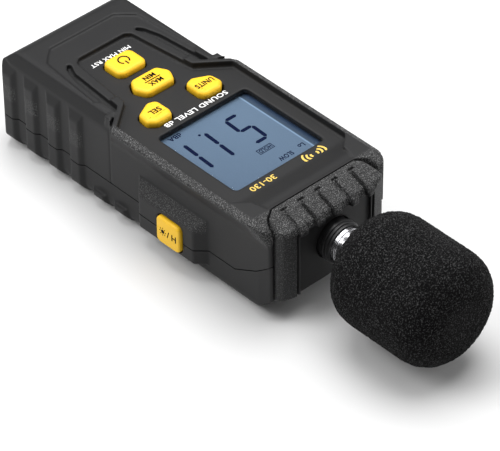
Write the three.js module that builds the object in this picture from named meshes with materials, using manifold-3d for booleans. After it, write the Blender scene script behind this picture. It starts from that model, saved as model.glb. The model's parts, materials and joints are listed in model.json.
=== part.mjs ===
// Hand-held sound level meter with a foam windscreen, as an assembly of its separate pieces.
// Millimetres, +Z out of the display, +Y towards the microphone. Inside this file y = 0 is the middle
// of the display window and z = 0 is the flat back; the exported group moves y = 0 to mid length.
import * as THREE from "three";
import { mergeVertices } from "three/addons/utils/BufferGeometryUtils.js";
import Module from "manifold-3d";

const wasm = await Module();
wasm.setup();

// ---------------------------------------------------------------- driving dimensions
const GAP = 0.3; // between pieces that rest on each other
const CASE_HALF = 24.7; // half width of the smooth side walls
const HANDLE_END = -92;
const HANDLE_CORNER = 10;
const MIC_END = 41;
const WALL = 2;
const SPLIT_Z = 13.1; // joint between the two shells
const SPLIT_RISE = [25, 34.9]; // it climbs from here to the microphone end
const SPLIT_RISE_Z = [18.2, 23];
const PANEL_Z = 36.5; // printed panel round the keys and the window
const RIM_Z = 39; // raised rim round the panel
const HANDLE_Z = 38.7;
const PLATEAU_Z = 38; // shallow field round the keypad
const RIM_HALF = 27.7;
const END_HALF = 24.2; // half width at the microphone end
const ROOF_Z = PANEL_Z - 2.2; // underside of the panel wall

const WINDOW_X = -1.3;
const WINDOW_W = 38;
const WINDOW_H = 36.8;
const LCD_TOP = ROOF_Z - GAP;
const LCD_BOTTOM = LCD_TOP - 2.4;
const ZEBRA_Y = 18.4;

const MIC_Z = 23.3; // height of the microphone axis
const BARREL_R = 6.35;
const BARREL_START = 33;
const BARREL_TIP = 70;
const FOAM_R = 19.8;
const FOAM_START = 55.8;
const FOAM_TIP = 100.2;
const FOAM_ROUND = 11;

const KEY_TOP = PANEL_Z + 2.1;
const KEY_CLEARANCE = 0.4;
const BOARD_LOW = 25;
const BOARD_HIGH = 26.6;

const BOSS_HALF = 28.4; // outer face of the side boss
const BUTTON_Y = -1.25;
const BUTTON_Z = 13.8;
const BUTTON_W = 10.8;
const BUTTON_H = 10.2;
const BUTTON_FACE = 29.4;

const CELL_R = 5.25; // AAA cell
const CELL_LENGTH = 44.5;
const CELL_PITCH = 11;
const CELL_Z = 8.2;
const CELL_NUB_END = -36.9;
const BAY_HALF = 17.6;
const BAY_START = -85.2;
const BAY_END = -35.8;
const BAY_CEILING = 14;
const COVER_TOP = 2;
const COVER_TAB_END = -29.5;
const COVER_SCREW_Y = -32.4;
const COVER_GRIPS = [-79, -77, -75]; // finger grooves

const CASE_SCREW_X = 19.6;
const CASE_SCREW_Y = 27.5;
const BOARD_SCREW_X = 10.5;
const BOARD_SCREW_Y = -62.8;

const RIB_CENTRES = [-49.9, -61, -72.2, -83.2];
const LOWER_RIB_CENTRES = [-38.8, -28];
const RIB_HEIGHT = 1.4;

// ---------------------------------------------------------------- materials
const finish = (color, roughness, metalness = 0) => () =>
  new THREE.MeshStandardMaterial({ color, roughness, metalness });
const FINISH = {
  case: finish(0x3b3b3c, 0.6),
  key: finish(0xffd338, 0.55),
  foam: finish(0x161616, 1),
  chrome: finish(0xd8d8da, 0.15, 1),
  blackMetal: finish(0x222224, 0.4, 0.8),
  window: finish(0x7a92a8, 0.1),
  display: finish(0x6d87a0, 0.3),
  diffuser: finish(0xe8eef2, 0.5),
  board: finish(0x1f6b3a, 0.5),
  chip: finish(0x1a1a1a, 0.5),
  switch: finish(0x2b2b2b, 0.5),
  steel: finish(0xb5b5b5, 0.3, 1),
  brass: finish(0xb5893a, 0.35, 1),
  cell: finish(0x2c5f8a, 0.4, 0.3),
  zebra: finish(0x555560, 0.9),
  connector: finish(0xeeeeea, 0.5),
};

// ---------------------------------------------------------------- solids
// Boolean solid of a closed geometry.
function solid(geometry) {
  const plain = new THREE.BufferGeometry();
  const source = geometry.index ? geometry.toNonIndexed() : geometry;
  plain.setAttribute("position", source.getAttribute("position"));
  const merged = mergeVertices(plain, 1e-4);
  return new wasm.Manifold(
    new wasm.Mesh({
      numProp: 3,
      vertProperties: merged.attributes.position.array,
      triVerts: new Uint32Array(merged.index.array),
    }),
  );
}

function geometryOf(manifold) {
  const mesh = manifold.getMesh();
  const geometry = new THREE.BufferGeometry();
  geometry.setAttribute("position", new THREE.BufferAttribute(mesh.vertProperties, 3));
  geometry.setIndex(new THREE.BufferAttribute(mesh.triVerts, 1));
  geometry.computeVertexNormals();
  return geometry;
}

const union = (parts) => parts.reduce((all, part) => all.add(part));

const shapeOf = (points) => new THREE.Shape(points.map(([a, b]) => new THREE.Vector2(a, b)));

const mirrored = (points) => points.map(([x, y]) => [-x, y]).reverse();

// Right-hand points and their mirror image as one closed outline.
const symmetric = (points) => [...points, ...mirrored(points)];

// A plan outline raised from z = low to z = high.
function prism(shape, low, high, bevel = 0) {
  const geometry = new THREE.ExtrudeGeometry(shape, {
    depth: high - low - 2 * bevel,
    bevelEnabled: bevel > 0,
    bevelThickness: bevel,
    bevelSize: bevel,
    bevelOffset: -bevel,
    bevelSegments: 2,
    curveSegments: 5,
  });
  return solid(geometry.translate(0, 0, low + bevel));
}

// A cross section drawn in (x, z), run along y.
function alongY(points, start, end) {
  const geometry = new THREE.ExtrudeGeometry(shapeOf(points), {
    depth: end - start,
    bevelEnabled: false,
  });
  const turn = new THREE.Matrix4().makeBasis(
    new THREE.Vector3(1, 0, 0),
    new THREE.Vector3(0, 0, 1),
    new THREE.Vector3(0, -1, 0),
  );
  return solid(geometry.applyMatrix4(turn).translate(0, end, 0));
}

// A side profile drawn in (y, z), run along x.
function alongX(shape, start, end) {
  const geometry = new THREE.ExtrudeGeometry(shape, {
    depth: end - start,
    bevelEnabled: false,
    curveSegments: 5,
  });
  const turn = new THREE.Matrix4().makeBasis(
    new THREE.Vector3(0, 1, 0),
    new THREE.Vector3(0, 0, 1),
    new THREE.Vector3(1, 0, 0),
  );
  return solid(geometry.applyMatrix4(turn).translate(start, 0, 0));
}

function box(x0, x1, y0, y1, z0, z1) {
  const geometry = new THREE.BoxGeometry(x1 - x0, y1 - y0, z1 - z0);
  return solid(geometry.translate((x0 + x1) / 2, (y0 + y1) / 2, (z0 + z1) / 2));
}

function roundPlate(width, height, radius, x = 0, y = 0) {
  const shape = new THREE.Shape();
  const w = width / 2 - radius;
  const h = height / 2 - radius;
  shape.absarc(x + w, y + h, radius, 0, Math.PI / 2);
  shape.absarc(x - w, y + h, radius, Math.PI / 2, Math.PI);
  shape.absarc(x - w, y - h, radius, Math.PI, 1.5 * Math.PI);
  shape.absarc(x + w, y - h, radius, 1.5 * Math.PI, 2 * Math.PI);
  return shape;
}

function post(radius, low, high, x, y, sides = 16) {
  const geometry = new THREE.CylinderGeometry(radius, radius, high - low, sides);
  return solid(geometry.rotateX(Math.PI / 2).translate(x, y, (low + high) / 2));
}

// A closed (radius, y) profile spun about the microphone axis.
function spun(profile, sides) {
  const points = [...profile, profile[0]].map(([r, y]) => new THREE.Vector2(r, y));
  return solid(new THREE.LatheGeometry(points, sides).translate(0, 0, MIC_Z));
}

// ---------------------------------------------------------------- outlines
// Plan outline of the case: rounded handle end, slightly drawn in at the microphone end.
function casePlan(half, corner, end = HANDLE_END, radius = HANDLE_CORNER) {
  const shape = new THREE.Shape();
  shape.absarc(half - radius, end + radius, radius, 1.5 * Math.PI, 2 * Math.PI);
  shape.lineTo(half, corner);
  shape.lineTo(END_HALF, MIC_END);
  shape.lineTo(-END_HALF, MIC_END);
  shape.lineTo(-half, corner);
  shape.absarc(radius - half, end + radius, radius, Math.PI, 1.5 * Math.PI);
  return shape;
}

const PANEL_PLAN = symmetric([
  [10, -65.2],
  [11.6, -64],
  [14.6, -37.2],
  [25, -29],
  [25, 21.5],
  [20.5, 27],
]);

const PLATEAU_PLAN = symmetric([
  [13.9, -75.2],
  [19.6, -69.8],
  [22, -43.4],
  [19.4, -41.2],
]);

const CAP_START = 34.4;
const CAP_FACE = 44.8;
const CAP_PLAN = symmetric([
  [17.6, CAP_START],
  [21.1, 36.4],
  [22.6, 38.8],
  [22.6, 41.6],
  [21.2, 43.4],
  [16.6, CAP_FACE],
  [13.6, CAP_FACE],
]);

function capPocket() {
  const grown = CAP_PLAN.map(([x, y]) => [x + Math.sign(x) * GAP, y === CAP_START ? y - GAP : y]);
  return prism(shapeOf(grown), -1, RIM_Z + 1);
}

// Everything below the joint between the shells, which climbs at the microphone end.
function belowSplit(shift) {
  const [start, bend] = SPLIT_RISE;
  const [bendZ, endZ] = SPLIT_RISE_Z;
  const profile = [
    [HANDLE_END - 1, -1],
    [MIC_END + 1, -1],
    [MIC_END + 1, endZ + shift],
    [MIC_END, endZ + shift],
    [bend, bendZ + shift],
    [start, SPLIT_Z + shift],
    [HANDLE_END - 1, SPLIT_Z + shift],
  ];
  return alongX(shapeOf(profile), -40, 40);
}

// The groove that sets the keypad border apart from the handle, on the +X side.
const KEYPAD_GROOVE = [
  [13.8, -64.4],
  [14.6, -65.3],
  [16.5, -63.2],
  [18.2, -57],
  [20.2, -35.4],
  [27.2, -31],
  [29, -29.2],
  [29, -27.4],
  [25.8, -30.8],
  [17.6, -37],
  [15.7, -60],
];

const BOSS_PLAN = [
  [22, -21],
  [24.7, -19.3],
  [BOSS_HALF, -15.9],
  [BOSS_HALF, 9.5],
  [24.7, 13],
  [22, 14.7],
];

const SIX_SIDED_KEY = symmetric([
  [5.6, -45],
  [7.6, -40.6],
  [5.8, -36],
]);
const SLANTED_KEY = [
  [7.4, -32.4],
  [10, -32.2],
  [15.4, -29.4],
  [16.2, -26],
  [15.6, -23],
  [7.6, -22.6],
  [6.2, -24.4],
  [6.2, -31],
];
const KEY_PLANS = {
  power: () => roundPlate(12, 9.6, 2.6, 0, -53.8),
  max_min: () => shapeOf(SIX_SIDED_KEY),
  select: () => shapeOf(SLANTED_KEY),
  units: () => shapeOf(mirrored(SLANTED_KEY)),
};
const KEY_CENTRES = {
  power: [0, -53.8],
  max_min: [0, -40.4],
  select: [11, -27.2],
  units: [-11, -27.2],
};

const grownShape = (shape, by) => {
  const points = shape.getPoints(5);
  const centre = new THREE.Box2().setFromPoints(points).getCenter(new THREE.Vector2());
  const size = new THREE.Box2().setFromPoints(points).getSize(new THREE.Vector2());
  const scale = new THREE.Vector2(1 + (2 * by) / size.x, 1 + (2 * by) / size.y);
  return new THREE.Shape(points.map((p) => p.clone().sub(centre).multiply(scale).add(centre)));
};

// ---------------------------------------------------------------- case
// Upright ribs on both sides, one trapezium each.
function ribs(centres, low, high) {
  const one = (y) => [
    [CASE_HALF - 1.6, y - 4.6],
    [CASE_HALF, y - 3.4],
    [CASE_HALF + RIB_HEIGHT, y - 2],
    [CASE_HALF + RIB_HEIGHT, y + 2],
    [CASE_HALF, y + 3.4],
    [CASE_HALF - 1.6, y + 4.6],
  ];
  const sides = centres.flatMap((y) => [shapeOf(one(y)), shapeOf(mirrored(one(y)))]);
  return union(sides.map((shape) => prism(shape, low, high)));
}

function sideBosses(low, high) {
  const section = symmetric([
    [BOSS_HALF, 7.4],
    [BOSS_HALF, 20.5],
    [CASE_HALF, 25],
  ]);
  const both = [shapeOf(BOSS_PLAN), shapeOf(mirrored(BOSS_PLAN))];
  const blocks = union(both.map((shape) => prism(shape, low, high)));
  return blocks.intersect(alongY(section, -25, 20));
}

function buttonOpening() {
  const half = BUTTON_W / 2 + KEY_CLEARANCE;
  const high = BUTTON_H / 2 + KEY_CLEARANCE;
  const hole = box(20, 31, BUTTON_Y - half, BUTTON_Y + half, BUTTON_Z - high, BUTTON_Z + high);
  const room = box(20, 26.2, BUTTON_Y - half - 1.6, BUTTON_Y + half + 1.6, 6.6, 21);
  return hole.add(room);
}

const screwPlaces = [
  [CASE_SCREW_X, CASE_SCREW_Y],
  [-CASE_SCREW_X, CASE_SCREW_Y],
  [CASE_SCREW_X, -CASE_SCREW_Y],
  [-CASE_SCREW_X, -CASE_SCREW_Y],
];

const boardScrewPlaces = [
  [BOARD_SCREW_X, BOARD_SCREW_Y],
  [-BOARD_SCREW_X, BOARD_SCREW_Y],
];

function frontShell() {
  const low = SPLIT_Z + GAP / 2;
  const displaySection = symmetric([
    [CASE_HALF, low],
    [CASE_HALF, 31],
    [RIM_HALF, 36.3],
    [RIM_HALF, 38.1],
    [25, RIM_Z],
  ]);
  const displayPlan = symmetric([
    [CASE_HALF, -36],
    [CASE_HALF, -33.4],
    [RIM_HALF, -29],
    [RIM_HALF, 34.6],
    [26.6, 38.4],
    [END_HALF, MIC_END],
  ]);
  const endProfile = shapeOf([
    [-36, low],
    [MIC_END, low],
    [MIC_END, 33.6],
    [39.8, 36.4],
    [37.8, 38.2],
    [35.2, RIM_Z],
    [-36, RIM_Z],
  ]);
  const display = alongY(displaySection, -36, MIC_END)
    .intersect(prism(shapeOf(displayPlan), 0, 50))
    .intersect(alongX(endProfile, -40, 40));
  const handleSection = symmetric([
    [CASE_HALF, low],
    [CASE_HALF, 32],
    [24.3, 35],
    [22.9, 37.2],
    [22.6, HANDLE_Z],
  ]);
  const handleProfile = shapeOf([
    [HANDLE_END, low],
    [-34, low],
    [-34, HANDLE_Z],
    [-79.4, HANDLE_Z],
    [-83, 37.8],
    [-86.5, 35],
    [-90, 31],
    [-91.6, 27.8],
    [HANDLE_END, 24],
  ]);
  const handle = alongY(handleSection, HANDLE_END, -34)
    .intersect(alongX(handleProfile, -40, 40))
    .intersect(prism(casePlan(CASE_HALF, 30), 0, 50));
  const ribSection = symmetric([
    [CASE_HALF + RIB_HEIGHT, low],
    [CASE_HALF + RIB_HEIGHT, 29.5],
    [23.4, 35.6],
  ]);
  const grips = ribs(RIB_CENTRES, low, 36).intersect(alongY(ribSection, -92, -40));
  const outside = union([display, handle, grips, sideBosses(low, 26)]).subtract(
    belowSplit(GAP / 2),
  );
  const plateau = prism(shapeOf(PLATEAU_PLAN), PLATEAU_Z, 50);

  const inner = CASE_HALF - WALL;
  const cavity = prism(casePlan(inner, 30, HANDLE_END + WALL, HANDLE_CORNER - WALL), 0, ROOF_Z)
    .subtract(box(-40, 40, 32, 60, -1, 50))
    .subtract(
      alongX(
        shapeOf([
          [-95, 22],
          [-89.8, 24],
          [-81, 36],
          [-95, 36],
        ]),
        -40,
        40,
      ),
    );
  const capMouth = box(-17.2, 17.2, 30, 36, 0, 33);
  const panel = prism(shapeOf(PANEL_PLAN), PANEL_Z, 50);
  const grooves = prism(shapeOf(KEYPAD_GROOVE), PANEL_Z, 50).add(
    prism(shapeOf(mirrored(KEYPAD_GROOVE)), PANEL_Z, 50),
  );
  const window = prism(roundPlate(WINDOW_W, WINDOW_H, 1.6, WINDOW_X), 30, 45);
  const keys = union(
    Object.values(KEY_PLANS).map((plan) => prism(grownShape(plan(), KEY_CLEARANCE), 30, 45)),
  );
  const posts = union([
    ...screwPlaces.map(([x, y]) => post(2.8, low, ROOF_Z + 1, x, y, 12)),
    ...boardScrewPlaces.map(([x, y]) => post(2.2, BOARD_HIGH + GAP, ROOF_Z + 1, x, y, 10)),
  ]);
  const screwHoles = union([
    ...screwPlaces.map(([x, y]) => post(1.45, 0, 24, x, y, 12)),
    ...boardScrewPlaces.map(([x, y]) => post(1.25, 20, 32.6, x, y, 10)),
  ]);
  return outside
    .subtract(cavity)
    .add(posts)
    .subtract(capMouth)
    .subtract(capPocket())
    .subtract(panel)
    .subtract(plateau)
    .subtract(grooves)
    .subtract(window)
    .subtract(keys)
    .subtract(screwHoles)
    .subtract(buttonOpening());
}

function backShell() {
  const high = SPLIT_Z - GAP / 2;
  const section = symmetric([
    [21.2, 0],
    [23.5, 1.4],
    [CASE_HALF, 4.6],
    [CASE_HALF, RIM_Z],
  ]);
  const profile = shapeOf([
    [-84, 0],
    [35, 0],
    [38, 1.2],
    [MIC_END, 4],
    [MIC_END, RIM_Z],
    [HANDLE_END, RIM_Z],
    [HANDLE_END, 10],
    [-90, 4.4],
    [-87, 1],
  ]);
  const shellBody = alongY(section, HANDLE_END, MIC_END)
    .intersect(alongX(profile, -40, 40))
    .intersect(prism(casePlan(CASE_HALF, 36), -1, 50))
    .intersect(belowSplit(-GAP / 2));
  const ribSection = symmetric([
    [22.4, 0.9],
    [24.6, 2.2],
    [CASE_HALF + RIB_HEIGHT, 5.4],
    [CASE_HALF + RIB_HEIGHT, high],
  ]);
  const grips = ribs(RIB_CENTRES, 0, high)
    .add(ribs(LOWER_RIB_CENTRES, 0, 7.5))
    .intersect(alongY(ribSection, -88, -20));
  const outside = shellBody.add(grips).add(sideBosses(7.4, high));

  const inner = CASE_HALF - WALL;
  const cavityPlan = casePlan(inner, 30, HANDLE_END + WALL + 1, HANDLE_CORNER - WALL);
  const cavity = prism(cavityPlan, WALL + 0.6, 50)
    .subtract(box(-40, 40, 32, 60, -1, 60))
    .subtract(
      alongX(
        shapeOf([
          [-95, 0],
          [-84, 0],
          [-88.6, 8],
          [-95, 8],
        ]),
        -40,
        40,
      ),
    );
  const capMouth = box(-17.2, 17.2, 30, 36, 4, 33);
  const thin = 1.2; // walls of the battery bay
  const bayWalls = box(
    -BAY_HALF - thin,
    BAY_HALF + thin,
    BAY_START - thin,
    BAY_END + thin,
    0.5,
    BAY_CEILING + thin,
  );
  const bayRoom = box(-BAY_HALF, BAY_HALF, BAY_START, BAY_END, -1, BAY_CEILING);
  const coverSeat = prism(coverPlan(GAP), -1, COVER_TOP + GAP);
  const coverBoss = post(3.4, COVER_TOP, 9, 0, COVER_SCREW_Y, 12);
  const posts = union([
    ...screwPlaces.map(([x, y]) => post(2.8, WALL, high, x, y, 12)),
    post(6.4, WALL, 9.4, 0, 0, 16),
    coverBoss,
  ]);
  const holes = union([
    ...screwPlaces.map(([x, y]) => post(1.5, -1, 20, x, y, 12)),
    ...screwPlaces.map(([x, y]) => post(2.6, -1, 3.5, x, y, 12)),
    post(1.5, -1, 8, 0, COVER_SCREW_Y, 12),
    post(4.8, -1, 8.4, 0, 0, 16),
  ]);
  return outside
    .subtract(cavity)
    .add(posts)
    .add(bayWalls)
    .subtract(bayRoom)
    .subtract(capMouth)
    .subtract(capPocket())
    .subtract(coverSeat)
    .subtract(holes)
    .subtract(buttonOpening());
}

// The battery cover's outline, with a tab that takes its screw.
function coverPlan(grow) {
  const half = BAY_HALF - 0.4 + grow;
  return shapeOf(
    symmetric([
      [half, BAY_START + 0.4 - grow],
      [half, BAY_END + grow],
      [5.5 + grow, BAY_END + grow],
      [5.5 + grow, COVER_TAB_END + grow],
    ]),
  );
}

function batteryCover() {
  const plate = prism(coverPlan(0), 0.35, COVER_TOP);
  const grips = union(COVER_GRIPS.map((y) => box(-7, 7, y - 0.4, y + 0.4, 0, 0.8)));
  const hole = post(1.5, -1, 5, 0, COVER_SCREW_Y, 12);
  const headRoom = post(2.4, -1, 1.2, 0, COVER_SCREW_Y, 12);
  return plate.subtract(grips).subtract(hole).subtract(headRoom);
}

function micEndCap() {
  const profile = shapeOf([
    [CAP_START, 1],
    [38, 1.6],
    [42.6, 5],
    [CAP_FACE, 9],
    [CAP_FACE, 33.4],
    [43.6, 35.2],
    [37, 38.1],
    [CAP_START, 38.6],
  ]);
  // The top comes down to the case at each side.
  const section = symmetric([
    [30, 0],
    [30, 31],
    [22.6, 33.4],
    [21.4, 36.4],
    [19.4, 38.2],
    [17, 38.7],
  ]);
  const block = prism(shapeOf(CAP_PLAN), 0, 50)
    .intersect(alongX(profile, -30, 30))
    .intersect(alongY(section, 30, 50));
  const faceRecess = box(-13.6, 13.6, CAP_FACE - 1.1, 50, -1, 33.2);
  const ribPitch = 7.2;
  const ribHalf = 1.3;
  const ribProfile = shapeOf([
    [36.8, 38.5],
    [37, 37.2],
    [42.8, 34.4],
    [43, 32.6],
    [45.6, 33],
    [45.6, 34.6],
    [44.2, 36.2],
    [37.6, 39],
  ]);
  const topRibs = union(
    [-2, -1, 0, 1, 2].map((i) =>
      alongX(ribProfile, i * ribPitch - ribHalf, i * ribPitch + ribHalf),
    ),
  );
  const skirt = box(-16.9, 16.9, 31, 36, 4.3, 32.7);
  const inside = box(-15.6, 15.6, 30, 41, 5.4, 31.6);
  const micHole = spun(
    [
      [0, 30],
      [7.3, 30],
      [7.3, 50],
      [0, 50],
    ],
    24,
  );
  return block
    .subtract(faceRecess)
    .add(topRibs)
    .add(skirt)
    .subtract(inside)
    .subtract(micHole);
}

// ---------------------------------------------------------------- display
// Clear lens, glued into the panel's opening.
function displayWindow() {
  const outline = roundPlate(WINDOW_W - 2 * GAP, WINDOW_H - 2 * GAP, 1.4, WINDOW_X);
  return prism(outline, LCD_TOP + GAP, PANEL_Z - 0.4);
}

const plateAt = (w, h, z0, z1, y = 0) => prism(roundPlate(w, h, 0.6, WINDOW_X, y), z0, z1);

function lcdFrame() {
  const outer = plateAt(41.8, 43.4, BOARD_HIGH + GAP, LCD_TOP - GAP);
  return outer.subtract(plateAt(39.8, 41.4, 0, 50));
}

// ---------------------------------------------------------------- electronics
function mainBoard() {
  const outline = symmetric([
    [15.4, -66],
    [15.4, -23.6],
    [22.1, -23.4],
    [22.1, 23.4],
    [15.4, 23.6],
    [15.4, 28.6],
  ]);
  const holes = union(boardScrewPlaces.map(([x, y]) => post(1.3, 0, 50, x, y, 10)));
  return prism(shapeOf(outline), BOARD_LOW, BOARD_HIGH).subtract(holes);
}

// A boxy component soldered to the lower side of the main board.
function underBoard(width, y, length, depth) {
  const half = length / 2;
  return box(-width / 2, width / 2, y - half, y + half, BOARD_LOW - depth, BOARD_LOW - GAP);
}

function keySwitch([x, y]) {
  const low = BOARD_HIGH + GAP;
  const body = box(x - 3, x + 3, y - 3, y + 3, low, low + 3.5);
  return body.subtract(post(2, low + 1.1, low + 5, x, y, 12));
}

function keyCap(name) {
  const plan = KEY_PLANS[name]();
  const flange = prism(grownShape(plan, 0.9), 32.2, 33.8);
  return prism(plan, 33, KEY_TOP, 0.8).add(flange);
}

function sideButton() {
  const plan = roundPlate(BUTTON_W, BUTTON_H, 1.8, BUTTON_Y, BUTTON_Z);
  const flange = box(23.9, 25.7, BUTTON_Y - 6.4, BUTTON_Y + 6.4, 7.2, 20.2);
  return alongX(plan, 24.5, BUTTON_FACE).add(flange);
}

function sideSwitch() {
  const body = box(19.2, 22.4, BUTTON_Y - 3, BUTTON_Y + 3, BUTTON_Z - 3, BUTTON_Z + 3);
  const bore = alongX(roundPlate(3.9, 3.9, 1.9, BUTTON_Y, BUTTON_Z), 20.2, 30);
  return body.subtract(bore);
}

// Pan-head screw with a cross slot; the head points to -Z.
function screw(x, y, headR, headLow, headHigh, shankR, tip) {
  const head = post(headR, headLow, headHigh, x, y, 14);
  const shank = post(shankR, headHigh - 0.1, tip, x, y, 10);
  const long = headR * 0.62;
  const slot = box(x - long, x + long, y - 0.25, y + 0.25, headLow - 1, headLow + 0.7);
  const cross = box(x - 0.25, x + 0.25, y - long, y + long, headLow - 1, headLow + 0.7);
  return head.add(shank).subtract(slot).subtract(cross);
}

// ---------------------------------------------------------------- microphone
function micCollar() {
  return spun(
    [
      [6.65, 39.2],
      [8, 39.2],
      [8, 40.7],
      [7, 40.7],
      [7, 44.6],
      [7.4, 45],
      [7.4, 46],
      [6.9, 46.3],
      [6.9, 47],
      [7.4, 47.3],
      [7.4, 48.4],
      [6.65, 48.8],
    ],
    24,
  );
}

function micBarrel() {
  return spun(
    [
      [5.6, BARREL_START],
      [BARREL_R, BARREL_START],
      [BARREL_R, BARREL_TIP - 0.6],
      [BARREL_R - 0.6, BARREL_TIP],
      [5.6, BARREL_TIP],
    ],
    24,
  );
}

function windscreen() {
  const steps = 4;
  const arc = (centre, from, to) =>
    Array.from({ length: steps + 1 }, (_, i) => {
      const angle = from + ((to - from) * i) / steps;
      const radius = FOAM_R - FOAM_ROUND + FOAM_ROUND * Math.cos(angle);
      return [radius, centre + FOAM_ROUND * Math.sin(angle)];
    });
  const profile = [
    [BARREL_R + GAP, FOAM_START],
    ...arc(FOAM_START + FOAM_ROUND, -Math.PI / 2, 0),
    ...arc(FOAM_TIP - FOAM_ROUND, 0, Math.PI / 2),
    [0, FOAM_TIP],
    [0, BARREL_TIP + GAP],
    [BARREL_R + GAP, BARREL_TIP + GAP],
  ];
  return spun(profile, 28);
}

// ---------------------------------------------------------------- battery
const cellX = [-CELL_PITCH, 0, CELL_PITCH];

function lengthwise(profile, x, z, sides) {
  const points = [...profile, profile[0]].map(([r, y]) => new THREE.Vector2(r, y));
  return solid(new THREE.LatheGeometry(points, sides).translate(x, 0, z));
}

function batteryCell(x) {
  const nub = CELL_NUB_END;
  const start = nub - CELL_LENGTH;
  return lengthwise(
    [
      [0, start],
      [CELL_R - 0.4, start],
      [CELL_R, start + 0.4],
      [CELL_R, nub - 1.4],
      [CELL_R - 0.5, nub - 1],
      [1.8, nub - 0.9],
      [1.8, nub],
      [0, nub],
    ],
    x,
    CELL_Z,
    20,
  );
}

// A coil spring that narrows towards the cell, on its contact plate.
function batterySpring(x) {
  const start = BAY_START + GAP;
  const end = CELL_NUB_END - CELL_LENGTH - GAP;
  const turns = 2.5;
  const steps = 30;
  const wire = 0.3;
  const points = Array.from({ length: steps + 1 }, (_, i) => {
    const t = i / steps;
    const angle = 2 * Math.PI * turns * t;
    const radius = 3.2 - 1.2 * t;
    const y = start + 0.4 + (end - wire - start - 0.4) * t;
    return new THREE.Vector3(x + radius * Math.cos(angle), y, CELL_Z + radius * Math.sin(angle));
  });
  const section = new THREE.Shape();
  section.absarc(0, 0, wire, 0, 2 * Math.PI);
  const coil = new THREE.ExtrudeGeometry(section, {
    steps,
    bevelEnabled: false,
    curveSegments: 3,
    extrudePath: new THREE.CatmullRomCurve3(points),
  });
  const plate = box(x - 4, x + 4, start, start + 0.6, CELL_Z - 4, CELL_Z + 4);
  return solid(coil).add(plate);
}

function contactPlate(x0, x1) {
  const y = CELL_NUB_END + GAP;
  return box(x0 - 3.6, x1 + 3.6, y, y + 0.5, CELL_Z - 3.6, CELL_Z + 3.6);
}

function tripodNut() {
  const body = post(4.5, 0.3, 8.1, 0, 0, 6);
  return body.subtract(post(3.1, -1, 7.4, 0, 0, 16));
}

// ---------------------------------------------------------------- assembly
const meter = new THREE.Group();

function place(name, manifold, makeMaterial) {
  const mesh = new THREE.Mesh(geometryOf(manifold), makeMaterial());
  mesh.name = name;
  meter.add(mesh);
}

place("front_shell", frontShell(), FINISH.case);
place("back_shell", backShell(), FINISH.case);
place("mic_end_cap", micEndCap(), FINISH.case);
place("battery_cover", batteryCover(), FINISH.case);
const coverScrew = screw(0, COVER_SCREW_Y, 2.1, 0.1, 0.9, 1.1, 7.4);
place("battery_cover_screw", coverScrew, FINISH.steel);
screwPlaces.forEach(([x, y], i) => {
  place("case_screw_" + (i + 1), screw(x, y, 2.2, 0.6, 3.2, 1.1, 21), FINISH.steel);
});

place("display_window", displayWindow(), FINISH.window);
place("lcd_glass", plateAt(39.2, 40.8, LCD_BOTTOM, LCD_TOP), FINISH.display);
place("backlight", plateAt(39, 33, BOARD_HIGH + GAP, LCD_BOTTOM - GAP), FINISH.diffuser);
place("lcd_frame", lcdFrame(), FINISH.chip);
[ZEBRA_Y, -ZEBRA_Y].forEach((y, i) => {
  const strip = plateAt(36, 2.4, BOARD_HIGH + GAP, LCD_BOTTOM - GAP, y);
  place("zebra_strip_" + (i + 1), strip, FINISH.zebra);
});

place("main_board", mainBoard(), FINISH.board);
place("controller_chip", underBoard(14, -2, 14, 1.8), FINISH.chip);
place("mic_connector", underBoard(7, 24, 4, 5.5), FINISH.connector);
place("battery_connector", underBoard(7, -28, 4, 5.5), FINISH.connector);
boardScrewPlaces.forEach(([x, y], i) => {
  const one = screw(x, y, 2, BOARD_LOW - 1.6, BOARD_LOW - GAP, 0.9, 31.6);
  place("board_screw_" + (i + 1), one, FINISH.steel);
});

Object.entries(KEY_CENTRES).forEach(([name, [x, y]]) => {
  place(name + "_key", keyCap(name), FINISH.key);
  place(name + "_switch", keySwitch([x, y]), FINISH.switch);
  place(name + "_plunger", post(1.65, 29, 31.9, x, y, 12), FINISH.steel);
});

place("side_button", sideButton(), FINISH.key);
place("side_switch", sideSwitch(), FINISH.switch);
const sidePlunger = alongX(roundPlate(3.2, 3.2, 1.59, BUTTON_Y, BUTTON_Z), 21.3, 23.6);
place("side_plunger", sidePlunger, FINISH.steel);
place("side_switch_board", box(17.3, 18.9, -8.2, 5.8, 7, 21), FINISH.board);

place("mic_collar", micCollar(), FINISH.blackMetal);
place("mic_barrel", micBarrel(), FINISH.chrome);
const capsule = spun(
  [
    [0, 62],
    [5.3, 62],
    [5.3, 69.4],
    [0, 69.4],
  ],
  20,
);
place("mic_capsule", capsule, FINISH.blackMetal);
place("preamp_board", box(-4, 4, 31.8, 60, MIC_Z - 0.6, MIC_Z + 0.6), FINISH.board);
place("windscreen", windscreen(), FINISH.foam);

cellX.forEach((x, i) => {
  place("battery_cell_" + (i + 1), batteryCell(x), FINISH.cell);
  place("battery_spring_" + (i + 1), batterySpring(x), FINISH.steel);
});
place("battery_contact_1", contactPlate(cellX[0], cellX[1]), FINISH.steel);
place("battery_contact_2", contactPlate(cellX[2], cellX[2]), FINISH.steel);
place("tripod_nut", tripodNut(), FINISH.brass);

// The origin stands on the back, below the middle of the whole length.
meter.position.y = -(HANDLE_END + FOAM_TIP) / 2;

export default meter;
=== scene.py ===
# %% [markdown]
# # A hand-held sound level meter
#
# The meter is a black two-shell case with a fluted handle, a display under a clear lens, five yellow
# rubber keys and a half-inch microphone under a ball of black foam. The engineering model gives where
# every piece is and how it moves. This file makes each piece that shows look like the real thing.

# %% Load the frame
import json
import math

import bmesh
import bpy
from mathutils import Matrix, Quaternion, Vector, noise


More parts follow.
